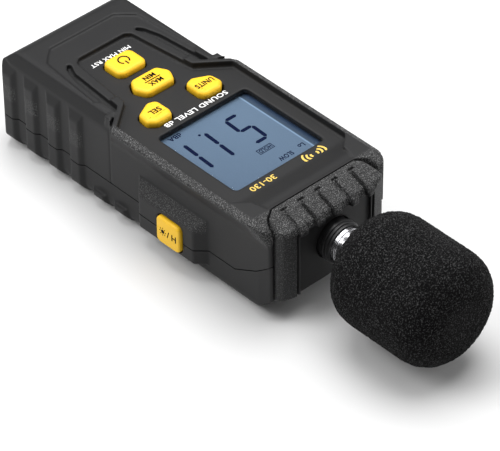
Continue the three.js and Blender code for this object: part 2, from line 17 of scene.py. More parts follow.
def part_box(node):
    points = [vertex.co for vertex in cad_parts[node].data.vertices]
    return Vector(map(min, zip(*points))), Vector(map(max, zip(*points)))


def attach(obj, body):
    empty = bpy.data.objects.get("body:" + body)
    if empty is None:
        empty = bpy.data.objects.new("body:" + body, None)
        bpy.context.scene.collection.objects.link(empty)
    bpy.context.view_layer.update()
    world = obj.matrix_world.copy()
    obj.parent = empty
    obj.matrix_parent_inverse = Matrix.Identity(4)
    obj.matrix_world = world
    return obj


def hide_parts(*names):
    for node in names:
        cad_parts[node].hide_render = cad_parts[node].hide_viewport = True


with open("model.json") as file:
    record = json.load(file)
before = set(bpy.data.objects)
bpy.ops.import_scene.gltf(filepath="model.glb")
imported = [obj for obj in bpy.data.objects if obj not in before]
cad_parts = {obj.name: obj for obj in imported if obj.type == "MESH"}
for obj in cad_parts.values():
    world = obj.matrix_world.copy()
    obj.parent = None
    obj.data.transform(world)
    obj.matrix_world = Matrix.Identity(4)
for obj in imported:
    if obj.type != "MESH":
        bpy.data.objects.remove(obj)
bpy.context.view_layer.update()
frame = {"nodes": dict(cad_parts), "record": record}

# %% [markdown]
# ## The camera
#
# A long lens from up near the microphone end, as a catalogue picture has it. It could be aimed with a
# constraint, but a direction, a distance and a small roll are easier to read and never depend on
# another object.

# %% Camera
CAMERA_TARGET = Vector((0.00848, 0.01048, 0.01514))
CAMERA_DISTANCE = 1.1056
CAMERA_TURN = math.radians(137.33)
CAMERA_HEIGHT = math.radians(39.69)
CAMERA_ROLL = math.radians(-0.5)

towards_camera = Vector(
    (
        math.sin(CAMERA_TURN) * math.cos(CAMERA_HEIGHT),
        -math.cos(CAMERA_TURN) * math.cos(CAMERA_HEIGHT),
        math.sin(CAMERA_HEIGHT),
    )
)
camera = bpy.data.objects.new("camera", bpy.data.cameras.new("camera"))
camera.data.lens = 252
camera.data.clip_end = 10
camera.location = CAMERA_TARGET + towards_camera * CAMERA_DISTANCE
camera.rotation_mode = "QUATERNION"
level = (-towards_camera).to_track_quat("-Z", "Y")
camera.rotation_quaternion = level @ Quaternion((0, 0, 1), CAMERA_ROLL)
bpy.context.scene.collection.objects.link(camera)
bpy.context.scene.camera = camera
print("camera at", [round(c, 3) for c in camera.location])

# %% [markdown]
# ## The drawing's own units
#
# The pieces are drawn in millimetres, from the middle of the display window and up from the flat back,
# because that is how one would measure the real thing. `at` turns such a point into the frame's metres.

# %% Units
MM = 0.001
window_low, window_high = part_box("display_window")
WINDOW_Y = (window_low.y + window_high.y) / 2


def at(x, y, z):
    return Vector((x * MM, y * MM + WINDOW_Y, z * MM))


def drawn(point):
    """The drawing's millimetres of a point in the frame."""
    return Vector((point.x, point.y - WINDOW_Y, point.z)) / MM


def node_box(name):
    low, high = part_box(name)
    return drawn(low), drawn(high)


# %% [markdown]
# ## Soft studio
#
# A pale floor and large soft panels of light. The main one stands high on the button side, so the side
# walls are lit and the hollow under the rim stays dark. Black plastic shows its form by what it mirrors,
# so small lights would give hard dots.

# %% Studio
def studio_floor():
    shape = bmesh.new()
    bmesh.ops.create_grid(shape, x_segments=1, y_segments=1, size=3)
    mesh = bpy.data.meshes.new("floor")
    shape.to_mesh(mesh)
    floor = bpy.data.objects.new("floor", mesh)
    bpy.context.scene.collection.objects.link(floor)
    paint = bpy.data.materials.new("pale_floor")
    paint.use_nodes = True
    surface = paint.node_tree.nodes["Principled BSDF"]
    surface.inputs["Base Color"].default_value = (0.72, 0.72, 0.72, 1)
    surface.inputs["Roughness"].default_value = 0.8
    mesh.materials.append(paint)


def soft_light(name, place, power, width, height, aim=(0, 0, 0.02)):
    light = bpy.data.lights.new(name, "AREA")
    light.shape = "RECTANGLE"
    light.size = width
    light.size_y = height
    light.energy = power
    lamp = bpy.data.objects.new(name, light)
    lamp.location = place
    lamp.rotation_mode = "QUATERNION"
    lamp.rotation_quaternion = (Vector(aim) - Vector(place)).to_track_quat("-Z", "Y")
    bpy.context.scene.collection.objects.link(lamp)


studio_floor()
soft_light("main", (0.55, -0.35, 0.70), 5.0, 0.5, 0.5)
soft_light("overhead", (-0.15, -0.10, 0.75), 8.0, 0.7, 0.7)
soft_light("handle_side", (0.10, -0.80, 0.40), 1.2, 0.5, 0.35)
soft_light("far_side", (-0.7, 0.3, 0.35), 2.0, 0.6, 0.3)
world = bpy.data.worlds.new("studio")
world.use_nodes = True
world.node_tree.nodes["Background"].inputs["Color"].default_value = (1, 1, 1, 1)
world.node_tree.nodes["Background"].inputs["Strength"].default_value = 0.18
bpy.context.scene.world = world
bpy.context.scene.view_settings.view_transform = "Standard"
print("studio ready")

# %% [markdown]
# ## Drawing solids
#
# A moulding is best thought of as a few plain solids that are joined, cut and then softened. Each solid
# is one outline pushed along an axis. An outline lists only its corners, each with the radius that
# rounds it, and the arcs are worked out.

# %% Outlines and solids
ARC_STEPS = 5


def outline(corners):
    """(a, b) or (a, b, radius) corners, in order, as points with the round corners filled in."""
    points = []
    for i, corner in enumerate(corners):
        here = Vector(corner[:2])
        radius = corner[2] if len(corner) > 2 else 0
        if radius == 0:
            points.append(here)
            continue
        before = (Vector(corners[i - 1][:2]) - here).normalized()
        after = (Vector(corners[(i + 1) % len(corners)][:2]) - here).normalized()
        half = before.angle(after) / 2
        reach = radius / math.tan(half)
        centre = here + (before + after).normalized() * radius / math.sin(half)
        start = here + before * reach - centre
        end = here + after * reach - centre
        turn = start.angle_signed(end)
        for step in range(ARC_STEPS + 1):
            spin = Matrix.Rotation(-turn * step / ARC_STEPS, 2)
            points.append(centre + spin @ start)
    return points


def symmetric(corners):
    """Right-hand corners and their mirror image, as one closed outline."""
    return corners + [(-c[0], *c[1:]) for c in reversed(corners)]


def box_outline(a0, a1, b0, b1, radius=0):
    return [(a0, b0, radius), (a1, b0, radius), (a1, b1, radius), (a0, b1, radius)]


AXES = {
    "x": lambda a, b, along: at(along, a, b),
    "y": lambda a, b, along: at(a, along, b),
    "z": lambda a, b, along: at(a, b, along),
}


def pushed(corners, low, high, axis="z"):
    """The outline pushed along an axis from low to high."""
    place = AXES[axis]
    shape = bmesh.new()
    ring = [shape.verts.new(place(p.x, p.y, low)) for p in outline(corners)]
    base = shape.faces.new(ring)
    made = bmesh.ops.extrude_face_region(shape, geom=[base])
    top = [v for v in made["geom"] if isinstance(v, bmesh.types.BMVert)]
    bmesh.ops.translate(shape, verts=top, vec=place(0, 0, high) - place(0, 0, low))
    bmesh.ops.remove_doubles(shape, verts=shape.verts, dist=1e-7)
    bmesh.ops.recalc_face_normals(shape, faces=shape.faces)
    return shape


def piece_of(name, shape):
    mesh = bpy.data.meshes.new(name)
    shape.to_mesh(mesh)
    shape.free()
    piece = bpy.data.objects.new(name, mesh)
    bpy.context.scene.collection.objects.link(piece)
    return piece


# %% [markdown]
# ## Joining, cutting and softening
#
# Booleans do the carpentry. They leave knife edges that no moulding has, and bevelling them one by one
# fails where three solids meet. So the finished body is cast again on a fine grid, smoothed a little,
# which rounds every edge by about half a millimetre, and thinned where it is flat.

# %% Carpentry
def settle(piece):
    """Applies the piece's modifiers to its mesh."""
    bpy.context.view_layer.update()
    seen = piece.evaluated_get(bpy.context.evaluated_depsgraph_get())
    mesh = bpy.data.meshes.new_from_object(seen)
    old = piece.data
    piece.modifiers.clear()
    piece.data = mesh
    mesh.name = piece.name
    bpy.data.meshes.remove(old)
    return piece


def combine(piece, shapes, operation):
    for shape in shapes:
        tool = piece_of("tool", shape)
        work = piece.modifiers.new("work", "BOOLEAN")
        work.operation = operation
        work.solver = "EXACT"
        work.object = tool
        settle(piece)
        bpy.data.objects.remove(tool)
    return piece


def cast(piece, grid, smoothing, keep=0.5):
    """Casts the piece again on a grid in mm, smooths it and thins it to that share of its faces."""
    grid = grid * 1.0
    remesh = piece.modifiers.new("cast", "REMESH")
    remesh.mode = "VOXEL"
    remesh.voxel_size = grid * MM
    soften = piece.modifiers.new("soften", "SMOOTH")
    soften.factor = 0.5
    soften.iterations = max(1, smoothing // (1))
    thin = piece.modifiers.new("thin", "DECIMATE")
    thin.ratio = keep
    settle(piece)
    piece.data.shade_smooth()
    print(f"{piece.name}: {len(piece.data.polygons)} faces")
    return piece


def soft_edges(piece, angle=35):
    """Smooth shading, with the edges sharper than the angle kept crisp."""
    piece.data.shade_smooth()
    piece.data.set_sharp_from_angle(angle=math.radians(angle))


# %% [markdown]
# ## Finishes
#
# Every finish is a Principled surface whose colour, gloss and small bumps come from noise in Object
# coordinates, so it has no seams and needs no picture. `tint` is how far the colour strays, `bump` how
# high the grain stands, and `grain` its size in millimetres.

# %% Finish helper
def finish(name, colour, roughness, metallic=0.0, tint=0.12, bump=0.0, grain=0.3, **sockets):
    paint = bpy.data.materials.new(name)
    paint.use_nodes = True
    tree = paint.node_tree
    surface = tree.nodes["Principled BSDF"]
    surface.inputs["Metallic"].default_value = metallic
    for socket, value in sockets.items():
        surface.inputs[socket.replace("_", " ")].default_value = value
    coordinates = tree.nodes.new("ShaderNodeTexCoord")

    cloud = tree.nodes.new("ShaderNodeTexNoise")
    cloud.inputs["Scale"].default_value = 90
    cloud.inputs["Detail"].default_value = 4
    tree.links.new(coordinates.outputs["Object"], cloud.inputs["Vector"])
    shade = tree.nodes.new("ShaderNodeMix")
    shade.data_type = "RGBA"
    shade.inputs["A"].default_value = [c * (1 - tint) for c in colour] + [1]
    shade.inputs["B"].default_value = [min(1, c * (1 + tint)) for c in colour] + [1]
    tree.links.new(cloud.outputs["Fac"], shade.inputs["Factor"])
    tree.links.new(shade.outputs["Result"], surface.inputs["Base Color"])

    speck = tree.nodes.new("ShaderNodeTexNoise")
    speck.inputs["Scale"].default_value = 1 / (grain * MM)
    speck.inputs["Detail"].default_value = 2
    tree.links.new(coordinates.outputs["Object"], speck.inputs["Vector"])
    gloss = tree.nodes.new("ShaderNodeMapRange")
    gloss.inputs["To Min"].default_value = max(0.02, roughness - 0.08)
    gloss.inputs["To Max"].default_value = min(1, roughness + 0.08)
    tree.links.new(speck.outputs["Fac"], gloss.inputs["Value"])
    tree.links.new(gloss.outputs["Result"], surface.inputs["Roughness"])
    if bump:
        relief = tree.nodes.new("ShaderNodeBump")
        relief.inputs["Distance"].default_value = bump * MM
        relief.inputs["Strength"].default_value = 1
        tree.links.new(speck.outputs["Fac"], relief.inputs["Height"])
        tree.links.new(relief.outputs["Normal"], surface.inputs["Normal"])
    return paint


def dress(piece, paint):
    piece.data.materials.clear()
    piece.data.materials.append(paint)
    return piece


# %% [markdown]
# ## Black case plastic
#
# The case is matte black ABS. Most of it is satin smooth, while the rim, the side bosses and the strips
# on the end cap have a coarse spark texture. Its pits are a real bump, and the tiny specks where it catches
# light are painted glints, light grey flecks in the colour. Both are one material: a value stored on the
# mesh, called `spark`, says where the coarse texture and its painted glints are.

# %% Case material
CASE_BLACK = (0.0155, 0.0155, 0.016)


def case_finish(name, colour=CASE_BLACK):
    paint = finish(name, colour, 0.5, tint=0.1, bump=0.012, grain=0.22, Specular_IOR_Level=0.22)
    tree = paint.node_tree
    surface = tree.nodes["Principled BSDF"]
    coordinates = tree.nodes["Texture Coordinate"]
    where = tree.nodes.new("ShaderNodeAttribute")
    where.attribute_name = "spark"
    pits = tree.nodes.new("ShaderNodeTexVoronoi")
    pits.inputs["Scale"].default_value = 1 / (0.42 * MM)
    pits.inputs["Randomness"].default_value = 1
    tree.links.new(coordinates.outputs["Object"], pits.inputs["Vector"])
    fleck = tree.nodes.new("ShaderNodeTexNoise")
    fleck.inputs["Scale"].default_value = 1 / (0.30 * MM)
    fleck.inputs["Detail"].default_value = 2
    tree.links.new(coordinates.outputs["Object"], fleck.inputs["Vector"])
    bright = tree.nodes.new("ShaderNodeMapRange")
    bright.inputs["From Min"].default_value = 0.52
    bright.inputs["From Max"].default_value = 0.72
    tree.links.new(fleck.outputs["Fac"], bright.inputs["Value"])
    amount = tree.nodes.new("ShaderNodeMath")
    amount.operation = "MULTIPLY"
    tree.links.new(bright.outputs["Result"], amount.inputs[0])
    tree.links.new(where.outputs["Fac"], amount.inputs[1])
    # Painted glints: light grey flecks mixed into the colour where `spark` is. They stand in for the light
    # that the texture catches.
    painted_glints = tree.nodes.new("ShaderNodeMix")
    painted_glints.data_type = "RGBA"
    tree.links.new(amount.outputs["Value"], painted_glints.inputs["Factor"])
    tree.links.new(tree.nodes["Mix"].outputs["Result"], painted_glints.inputs["A"])
    painted_glints.inputs["B"].default_value = (0.22, 0.22, 0.22, 1)
    tree.links.new(painted_glints.outputs["Result"], surface.inputs["Base Color"])
    height = tree.nodes.new("ShaderNodeMath")
    height.operation = "MULTIPLY"
    tree.links.new(pits.outputs["Distance"], height.inputs[0])
    tree.links.new(where.outputs["Fac"], height.inputs[1])
    relief = tree.nodes.new("ShaderNodeBump")
    relief.inputs["Distance"].default_value = 0.16 * MM
    tree.links.new(height.outputs["Value"], relief.inputs["Height"])
    tree.links.new(tree.nodes["Bump"].outputs["Normal"], relief.inputs["Normal"])
    tree.links.new(relief.outputs["Normal"], surface.inputs["Normal"])
    return paint


case_paint = case_finish("case_plastic")


def smooth_step(low, high, value):
    t = min(1.0, max(0.0, (value - low) / (high - low)))
    return t * t * (3 - 2 * t)


def spark(piece, rule):
    """Stores on each vertex how coarse the texture and its painted glints are there: rule takes the place in
    mm and the normal.
    """
    values = [rule(drawn(v.co), v.normal) for v in piece.data.vertices]
    layer = piece.data.attributes.new("spark", "FLOAT", "POINT")
    layer.data.foreach_set("value", values)
    return piece


# %% [markdown]
# ## What both shells share
#
# The two shells meet on one seam and share the case's outline, the grip ribs on the handle and the boss
# on each side, so these are drawn once. The ribs are five-sided bars with round corners. The seam is
# read from the frame, and so are the case's ends.

# %% Shared outlines
front_low, front_high = node_box("front_shell")
HANDLE_END = front_low.y
MIC_END = front_high.y
RIM_Z = front_high.z
BOSS_HALF = front_high.x
CASE_HALF = 24.7
RIM_HALF = 27.7
PANEL_Z = RIM_Z - 2.5
PLATEAU_Z = RIM_Z - 0.7
WALL = 2.0
ROOF_Z = node_box("lcd_glass")[1].z + 0.3
END_HALF = 24.2
SPLIT_TOP = front_low.z
SEAM = 0.4
RISE_START, RISE_Z = 30.0, 8.6
HANDLE_ROUND = 10.0
RIB_HEIGHT = 1.4
RIB_CENTRES = (-49.9, -61.0, -72.2, -83.2)
BUTTON_LOW, BUTTON_HIGH = node_box("side_button")


def case_plan(half, corner, end, radius):
    return symmetric([(half, end, radius), (half, corner, 1), (END_HALF, MIC_END, 0.8)])


def below_split(shift):
    """All that is below the joint between the shells, which climbs to the microphone's height."""
    flat = SPLIT_TOP - SEAM / 2 + shift
    profile = [
        (HANDLE_END - 2, -2),
        (MIC_END + 2, -2),
        (MIC_END + 2, 23 + shift),
        (MIC_END, 23 + shift),
        (34.9, 18.2 + shift),
        (25, flat),
        (HANDLE_END - 2, flat),
    ]
    return pushed(profile, -40, 40, "x")


def rib(centre, side, base=3.6, land=2.1):
    inner = CASE_HALF - 2
    outer = CASE_HALF + RIB_HEIGHT
    corners = [
        (inner, centre - base),
        (CASE_HALF, centre - base, 1.2),
        (outer, centre - land, 1.2),
        (outer, centre + land, 1.2),
        (CASE_HALF, centre + base, 1.2),
        (inner, centre + base),
    ]
    return [(side * c[0], *c[1:]) for c in corners]


def both_sides(make):
    return [make(1), make(-1)]


def boss_plan(side):
    corners = [
        (22, -21),
        (CASE_HALF, -19.3, 0.6),
        (BOSS_HALF, -15.9, 1.4),
        (BOSS_HALF, 9.5, 1.4),
        (CASE_HALF, 13, 0.6),
        (22, 14.7),
    ]
    return [(side * c[0], *c[1:]) for c in corners]


def button_hole():
    gap = 0.4
    middle_y = (BUTTON_LOW.y + BUTTON_HIGH.y) / 2
    middle_z = (BUTTON_LOW.z + BUTTON_HIGH.z) / 2
    half_y, half_z = 5.4 + gap, 5.1 + gap
    hole = box_outline(middle_y - half_y, middle_y + half_y, middle_z - half_z, middle_z + half_z, 2)
    room = box_outline(middle_y - 7, middle_y + 7, middle_z - 7.2, middle_z + 7.2)
    return [pushed(hole, 20, 31, "x"), pushed(room, 20, 26.2, "x")]


SLANTED = [
    (6.2, -31.6, 2.2),
    (9.6, -32.6, 2.0),
    (15.6, -29.6, 2.4),
    (16.2, -24.8, 1.8),
    (13.6, -22.5, 2.2),
    (7.2, -22.6, 2.2),
    (6.1, -25.2, 1.4),
]
KEY_OUTLINES = {
    "power": [(-6, -58.6, 2.6), (6, -58.6, 2.6), (6, -49, 2.6), (-6, -49, 2.6)],
    "max_min": [(-5.4, -45, 2.2), (5.4, -45, 2.2), (7.9, -40.5, 2.6), (5.6, -35.8, 2.2),
                (-5.6, -35.8, 2.2), (-7.9, -40.5, 2.6)],
    "select": SLANTED,
    "units": [(-x, y, r) for x, y, r in SLANTED],
}


def grown(corners, by):
    """The corners moved outwards from their middle, for the hole that a key stands in."""
    xs = [c[0] for c in corners]
    ys = [c[1] for c in corners]
    middle_x = (min(xs) + max(xs)) / 2
    middle_y = (min(ys) + max(ys)) / 2
    return [
        (c[0] + math.copysign(by, c[0] - middle_x), c[1] + math.copysign(by, c[1] - middle_y), c[2] + by)
        for c in corners
    ]


CAP_PLAN = [
    (17.6, 34.4, 2),
    (21.1, 36.4, 2),
    (22.6, 38.8, 2),
    (22.6, 41.6, 2),
    (21.2, 43.4, 2),
    (16.6, 44.8, 1),
    (13.6, 44.8),
]


def cap_pocket(bottom, gap=0.25):
    sides = [(x + gap, y - gap, radius) for x, y, radius in CAP_PLAN[:3]]
    return pushed(symmetric(sides + [(22.6 + gap, 50)]), bottom, 60)


def shape_of(piece):
    shape = bmesh.new()
    shape.from_mesh(piece.data)
    bpy.data.objects.remove(piece)
    return shape


def common(*shapes):
    first, *rest = shapes
    return shape_of(combine(piece_of("common", first), rest, "INTERSECT"))


# %% [markdown]
# ## The front shell
#
# This is the piece one looks at most. Its display half carries a raised rim that hangs over the
# hollow side wall, and its handle half has a soft shoulder round a shallow plateau. The panel for the
# keys and the display is sunk into both and climbs gently to the end cap. Drawing it as solids that are
# joined and cut follows the way that its mould is milled.

# %% Front shell: the outer form
SPARE = 1.2  # made past the seam and cut off after casting, which keeps the seam's edges crisp
FRONT_START = SPLIT_TOP - SPARE

# An exact boolean now and then loses a piece whose face lies in the plane of its cutter's face, so the
# cutters below reach past that plane. The shape they leave is the same.
CLEAR = 5.0


def display_half():
    section = symmetric(
        [
            (CASE_HALF, FRONT_START),
            (CASE_HALF, 31.0, 6),
            (RIM_HALF - 0.3, 36.6, 0.5),
            (RIM_HALF, RIM_Z - 1.1, 0.5),
            (25.2, RIM_Z),
        ]
    )
    plan = symmetric(
        [
            (24.4, -36),
            (24.4, -33.6, 1),
            (RIM_HALF, -29.2, 1.5),
            (RIM_HALF, 34.6, 4),
            (26.6, 38.6, 3),
            (END_HALF, MIC_END, 0.8),
        ]
    )
    profile = [
        (-36, FRONT_START),
        (MIC_END, FRONT_START),
        (MIC_END, 33.4, 3),
        (39.8, 36.6, 3),
        (35.2, RIM_Z, 4),
        (-36, RIM_Z),
    ]
    return common(
        pushed(section, -36, MIC_END, "y"),
        pushed(plan, 0, 50),
        pushed(profile, -40, 40, "x"),
    )


HANDLE_PROFILE = [
    (HANDLE_END, FRONT_START - CLEAR),
    (-34, FRONT_START - CLEAR),
    (-34, RIM_Z),
    (-81.5, RIM_Z, 6),
    (-91.4, 29.6, 5),
    (HANDLE_END, 24, 6),
]


def handle_half():
    section = symmetric([(CASE_HALF, FRONT_START), (CASE_HALF, 34.0, 5), (22.7, RIM_Z, 1.8)])
    return common(
        pushed(section, HANDLE_END, -34, "y"),
        pushed(HANDLE_PROFILE, -40, 40, "x"),
        pushed(case_plan(CASE_HALF, 30, HANDLE_END, HANDLE_ROUND), 0, 50),
    )


def grips(centres, low, high, section):
    bars = [pushed(rib(y, side), low, high) for y in centres for side in (1, -1)]
    joined = combine(piece_of("grips", bars[0]), bars[1:], "UNION")
    return common(shape_of(joined), pushed(section, HANDLE_END, -10, "y"))


def side_bosses(low, high):
    section = symmetric([(BOSS_HALF, 7.4, 0.8), (BOSS_HALF, 20.5, 1.2), (CASE_HALF - 0.5, 25.6)])
    blocks = both_sides(lambda side: pushed(boss_plan(side), low, high))
    joined = combine(piece_of("bosses", blocks[0]), blocks[1:], "UNION")
    return common(shape_of(joined), pushed(section, -25, 20, "y"))


RIB_TOP_SECTION = symmetric(
    [(CASE_HALF + RIB_HEIGHT, FRONT_START - CLEAR), (CASE_HALF + RIB_HEIGHT, 30, 3), (23.0, 37.2)]
)
front = piece_of("front_shell_moulding", display_half())
outer_parts = [
    handle_half(),
    common(grips(RIB_CENTRES, FRONT_START, 37, RIB_TOP_SECTION), pushed(HANDLE_PROFILE, -40, 40, "x")),
    side_bosses(FRONT_START, 27),
]
combine(front, outer_parts, "UNION")
print("front shell, outer form:", len(front.data.polygons), "faces")

# %% [markdown]
# Now the cuts. The panel's floor is level as far as the window and then climbs to the end cap. The
# groove beside the keypad and the shallow field on the handle are cut from above, and the room for the
# display and the boards from below.

# %% Front shell: the cuts
def panel_cut():
    plan = symmetric(
        [
            (9.8, -65.4, 1),
            (11.8, -63.8, 1),
            (14.6, -37.4, 1),
            (25, -29.2, 1.5),
            (25, 23.0, 1.5),
            (19.8, 27.4, 1),
            (18.6, 33.8),
        ]
    )
    profile = [
        (-70, PANEL_Z),
        (23.5, PANEL_Z, 8),
        (30.5, RIM_Z - 0.3, 6),
        (33.8, RIM_Z - 0.2),
        (33.8, 50),
        (-70, 50),
    ]
    return common(pushed(plan, 30, 50), pushed(profile, -30, 30, "x"))


def keypad_groove(side):
    corners = [
        (13.9, -64.2, 0.4),
        (14.7, -65.6, 0.6),
        (16.6, -63.2, 0.8),
        (18.3, -57, 1),
        (20.2, -35.6, 1),
        (27.2, -31.2, 1),
        (30, -29.4),
        (30, -27.6),
        (25.9, -30.6, 1),
        (17.7, -37.2, 1),
        (15.8, -60, 1),
    ]
    return pushed([(side * c[0], *c[1:]) for c in corners], PANEL_Z, 50)


def plateau_cut():
    plan = symmetric([(13.9, -75.2, 1.5), (19.6, -69.8, 2), (22.1, -43.4, 0.6), (19.4, -41.2, 1)])
    return pushed(plan, PLATEAU_Z, 50)


def front_room():
    plan = case_plan(CASE_HALF - WALL, 30, HANDLE_END + WALL, 8)
    profile = [(-89.6, 0), (31, 0), (31, ROOF_Z), (-82, ROOF_Z), (-89.6, 24)]
    return common(pushed(plan, -1, ROOF_Z), pushed(profile, -30, 30, "x"))


def window_hole():
    gap = 0.3
    low, high = node_box("display_window")
    return pushed(box_outline(low.x - gap, high.x + gap, low.y - gap, high.y + gap, 1.6), 30, 45)


combine(
    front,
    [
        panel_cut(),
        *both_sides(keypad_groove),
        plateau_cut(),
        front_room(),
        cap_pocket(-1),
        pushed(box_outline(-17.2, 17.2, 30, 36), -1, 33, "z"),
        window_hole(),
        *button_hole(),
        *(pushed(grown(corners, 0.4), 30, 45) for corners in KEY_OUTLINES.values()),
    ],
    "DIFFERENCE",
)
print("front shell, cut:", len(front.data.polygons), "faces")

# %% [markdown]
# Casting rounds what the booleans left sharp. Then the coarse texture, with its painted glints, is laid on
# the display rim, on the slopes of the bosses and on the corner facets next to the end cap, with soft limits.

# %% Front shell: softened and textured
def front_spark(place, normal):
    side = abs(place.x)
    rim = smooth_step(25.0, 25.5, side) * smooth_step(36.6, 37.2, place.z) * smooth_step(-32, -30, place.y)
    slope = smooth_step(20.0, 20.8, place.z) * smooth_step(26.6, 25.8, place.z)
    boss = 0.5 * smooth_step(24.9, 25.3, side) * slope
    corner = smooth_step(33.5, 34.6, place.y) * smooth_step(30.5, 32.5, place.z) * smooth_step(18, 20, side)
    return max(rim, boss, corner)


cast(front, 0.36, 3, 0.33)
combine(front, [below_split(SEAM / 2)], "DIFFERENCE")
soft_edges(front, 55)
spark(dress(front, case_paint), front_spark)
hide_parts("front_shell")
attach(front, "meter")

# %% [markdown]
# ## The back shell
#
# The tray that the battery goes into. It repeats the ribs and the bosses below the seam, and its lower
# edges curve in to the flat that the meter lies on. The battery bay, the screw wells and the tripod
# socket are cut from below, because the cover and the screws come off on that side.

# %% Back shell
SPLIT_LOW = SPLIT_TOP - SEAM
BACK_TOP = SPLIT_LOW + SPARE
RIB_LOW_SECTION = symmetric(
    [(22.2, 0.6, 2), (CASE_HALF + RIB_HEIGHT, 4.6, 4), (CASE_HALF + RIB_HEIGHT, BACK_TOP + CLEAR)]
)
cover_low, cover_high = node_box("battery_cover")
SCREW_HOLES = [node_box(f"case_screw_{i}") for i in (1, 2, 3, 4)]


def tray():
    section = symmetric([(21.0, 0, 3), (CASE_HALF, 4.4, 4), (CASE_HALF, RIM_Z)])
    profile = [
        (-86, 0, 4),
        (RISE_START, 0, 6),
        (MIC_END, RISE_Z, 1),
        (MIC_END, RIM_Z),
        (HANDLE_END, RIM_Z),
        (HANDLE_END, 8, 6),
    ]
    return common(
        pushed(section, HANDLE_END, MIC_END, "y"),
        pushed(profile, -40, 40, "x"),
        pushed(case_plan(CASE_HALF, 36, HANDLE_END, HANDLE_ROUND), -1, 50),
        below_split(SPARE),
    )


def cover_plan(gap=0.0):
    tab_half = 5.5 + gap
    bay_end = -35.8 + gap
    corners = [(cover_high.x + gap, cover_low.y - gap), (cover_high.x + gap, bay_end), (tab_half, bay_end)]
    return symmetric(corners + [(tab_half, cover_high.y + gap)])


def column(x, y, radius, low, high, sides=32):
    shape = bmesh.new()
    centre = Matrix.Translation(at(x, y, (low + high) / 2))
    bmesh.ops.create_cone(
        shape,
        cap_ends=True,
        segments=sides,
        radius1=radius * MM,
        radius2=radius * MM,
        depth=(high - low) * MM,
        matrix=centre,
    )
    return shape


def middle(box):
    return (box[0] + box[1]) / 2


def back_room():
    plan = case_plan(CASE_HALF - WALL, 30, HANDLE_END + 3, 8)
    profile = [(-87, 3), (31, 3), (31, 25), (-89.5, 25), (-89.5, 7)]
    return common(pushed(plan, 2.6, 25), pushed(profile, -30, 30, "x"))


BAY_HALF = cover_high.x + 0.4
BAY_TOP = 14.0
bay_outline = box_outline(-BAY_HALF, BAY_HALF, cover_low.y - 0.4, -35.8)
back = piece_of("back_shell_moulding", tray())
combine(
    back,
    [
        grips(RIB_CENTRES, 0, BACK_TOP, RIB_LOW_SECTION),
        grips((-38.8, -28.6), 0, 6.6, RIB_LOW_SECTION),
        side_bosses(7.4, BACK_TOP),
    ],
    "UNION",
)
combine(back, [back_room(), cap_pocket(-1), pushed(box_outline(-17.2, 17.2, 30, 36), 5.5, 33)], "DIFFERENCE")
walls = pushed(box_outline(-BAY_HALF - 1.2, BAY_HALF + 1.2, cover_low.y - 1.6, -34.6), 0.5, BAY_TOP + 1.2)
posts = [column(middle(b).x, middle(b).y, 2.8, 2, SPLIT_LOW) for b in SCREW_HOLES]
combine(back, [walls, *posts, column(0, -32.4, 3.4, 2, 9), column(0, 0, 6.4, 2, 9.4)], "UNION")
screw_wells = [column(middle(b).x, middle(b).y, 2.6, -1, 3.5) for b in SCREW_HOLES]
screw_bores = [column(middle(b).x, middle(b).y, 1.5, -1, 20) for b in SCREW_HOLES]
combine(
    back,
    [
        pushed(bay_outline, -1, BAY_TOP),
        pushed(cover_plan(0.3), -1, cover_high.z + 0.3),
        *screw_wells,
        *screw_bores,
        column(0, -32.4, 1.5, -1, 8),
        column(0, 0, 4.8, -1, 8.4),
        *button_hole(),
    ],
    "DIFFERENCE",
)
print("back shell:", len(back.data.polygons), "faces")


def back_spark(place, normal):
    return 0.35 * smooth_step(1.0, 0.2, place.z)


cast(back, 0.36, 3, 0.33)
combine(back, [below_split(-SEAM / 2)], "INTERSECT")
soft_edges(back, 55)
spark(dress(back, case_paint), back_spark)
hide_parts("back_shell")
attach(back, "meter")

# %% [markdown]
# ## The end cap
#
# A separate black moulding closes the microphone end. Five raised strips run over its sloping top and
# hang a little over the face, each with a notch where it starts. The strips repeat at one pitch, so they
# are made by a loop.

# %% End cap
cap_high = node_box("mic_end_cap")[1]
STRIP_PITCH = 7.2
STRIP_HALF = 1.35
MIC_Z = (node_box("mic_barrel")[0].z + node_box("mic_barrel")[1].z) / 2
CAP_FACE = 44.8


def cap_block():
    profile = [
        (34.4, 3.5),
        (MIC_END, RISE_Z + 0.1, 1),
        (CAP_FACE, RISE_Z + 0.5, 0.5),
        (CAP_FACE, 33.2, 1),
        (43.6, 35.6, 0.8),
        (37.2, 38.1, 0.8),
        (34.4, 38.9),
    ]
    arch = symmetric([(30, 0), (30, 28), (22.7, 32, 4), (21.6, 37.6, 5), (17, 38.9, 3)])
    return common(
        pushed(symmetric(CAP_PLAN), 0, 50),
        pushed(profile, -30, 30, "x"),
        pushed(arch, 30, 50, "y"),
    )


def strip(centre):
    profile = [
        (36.9, 38.6, 0.3),
        (37.2, 37.0),
        (43.0, 34.4),
        (43.2, 32.4),
        (45.6, 32.6, 0.5),
        (45.6, 34.6, 0.8),
        (44.2, 36.4, 0.8),
        (37.6, cap_high.z, 0.4),
    ]
    return pushed(profile, centre - STRIP_HALF, centre + STRIP_HALF, "x")


def notch(centre):
    """The small step where a strip starts."""
    profile = [(36.0, 37.5), (37.3, 37.3), (37.3, 50), (36.0, 50)]
    return pushed(profile, centre - 0.6, centre + 2.0, "x")


def strip_groove(centre):
    """The dark line down the near side of a strip."""
    profile = [(36.6, 37.6), (37.2, 37.2), (43.2, 34.8), (44.0, 32.8), (46, 32), (46, 50), (36.6, 50)]
    return pushed(profile, centre + STRIP_HALF, centre + STRIP_HALF + 0.65, "x")


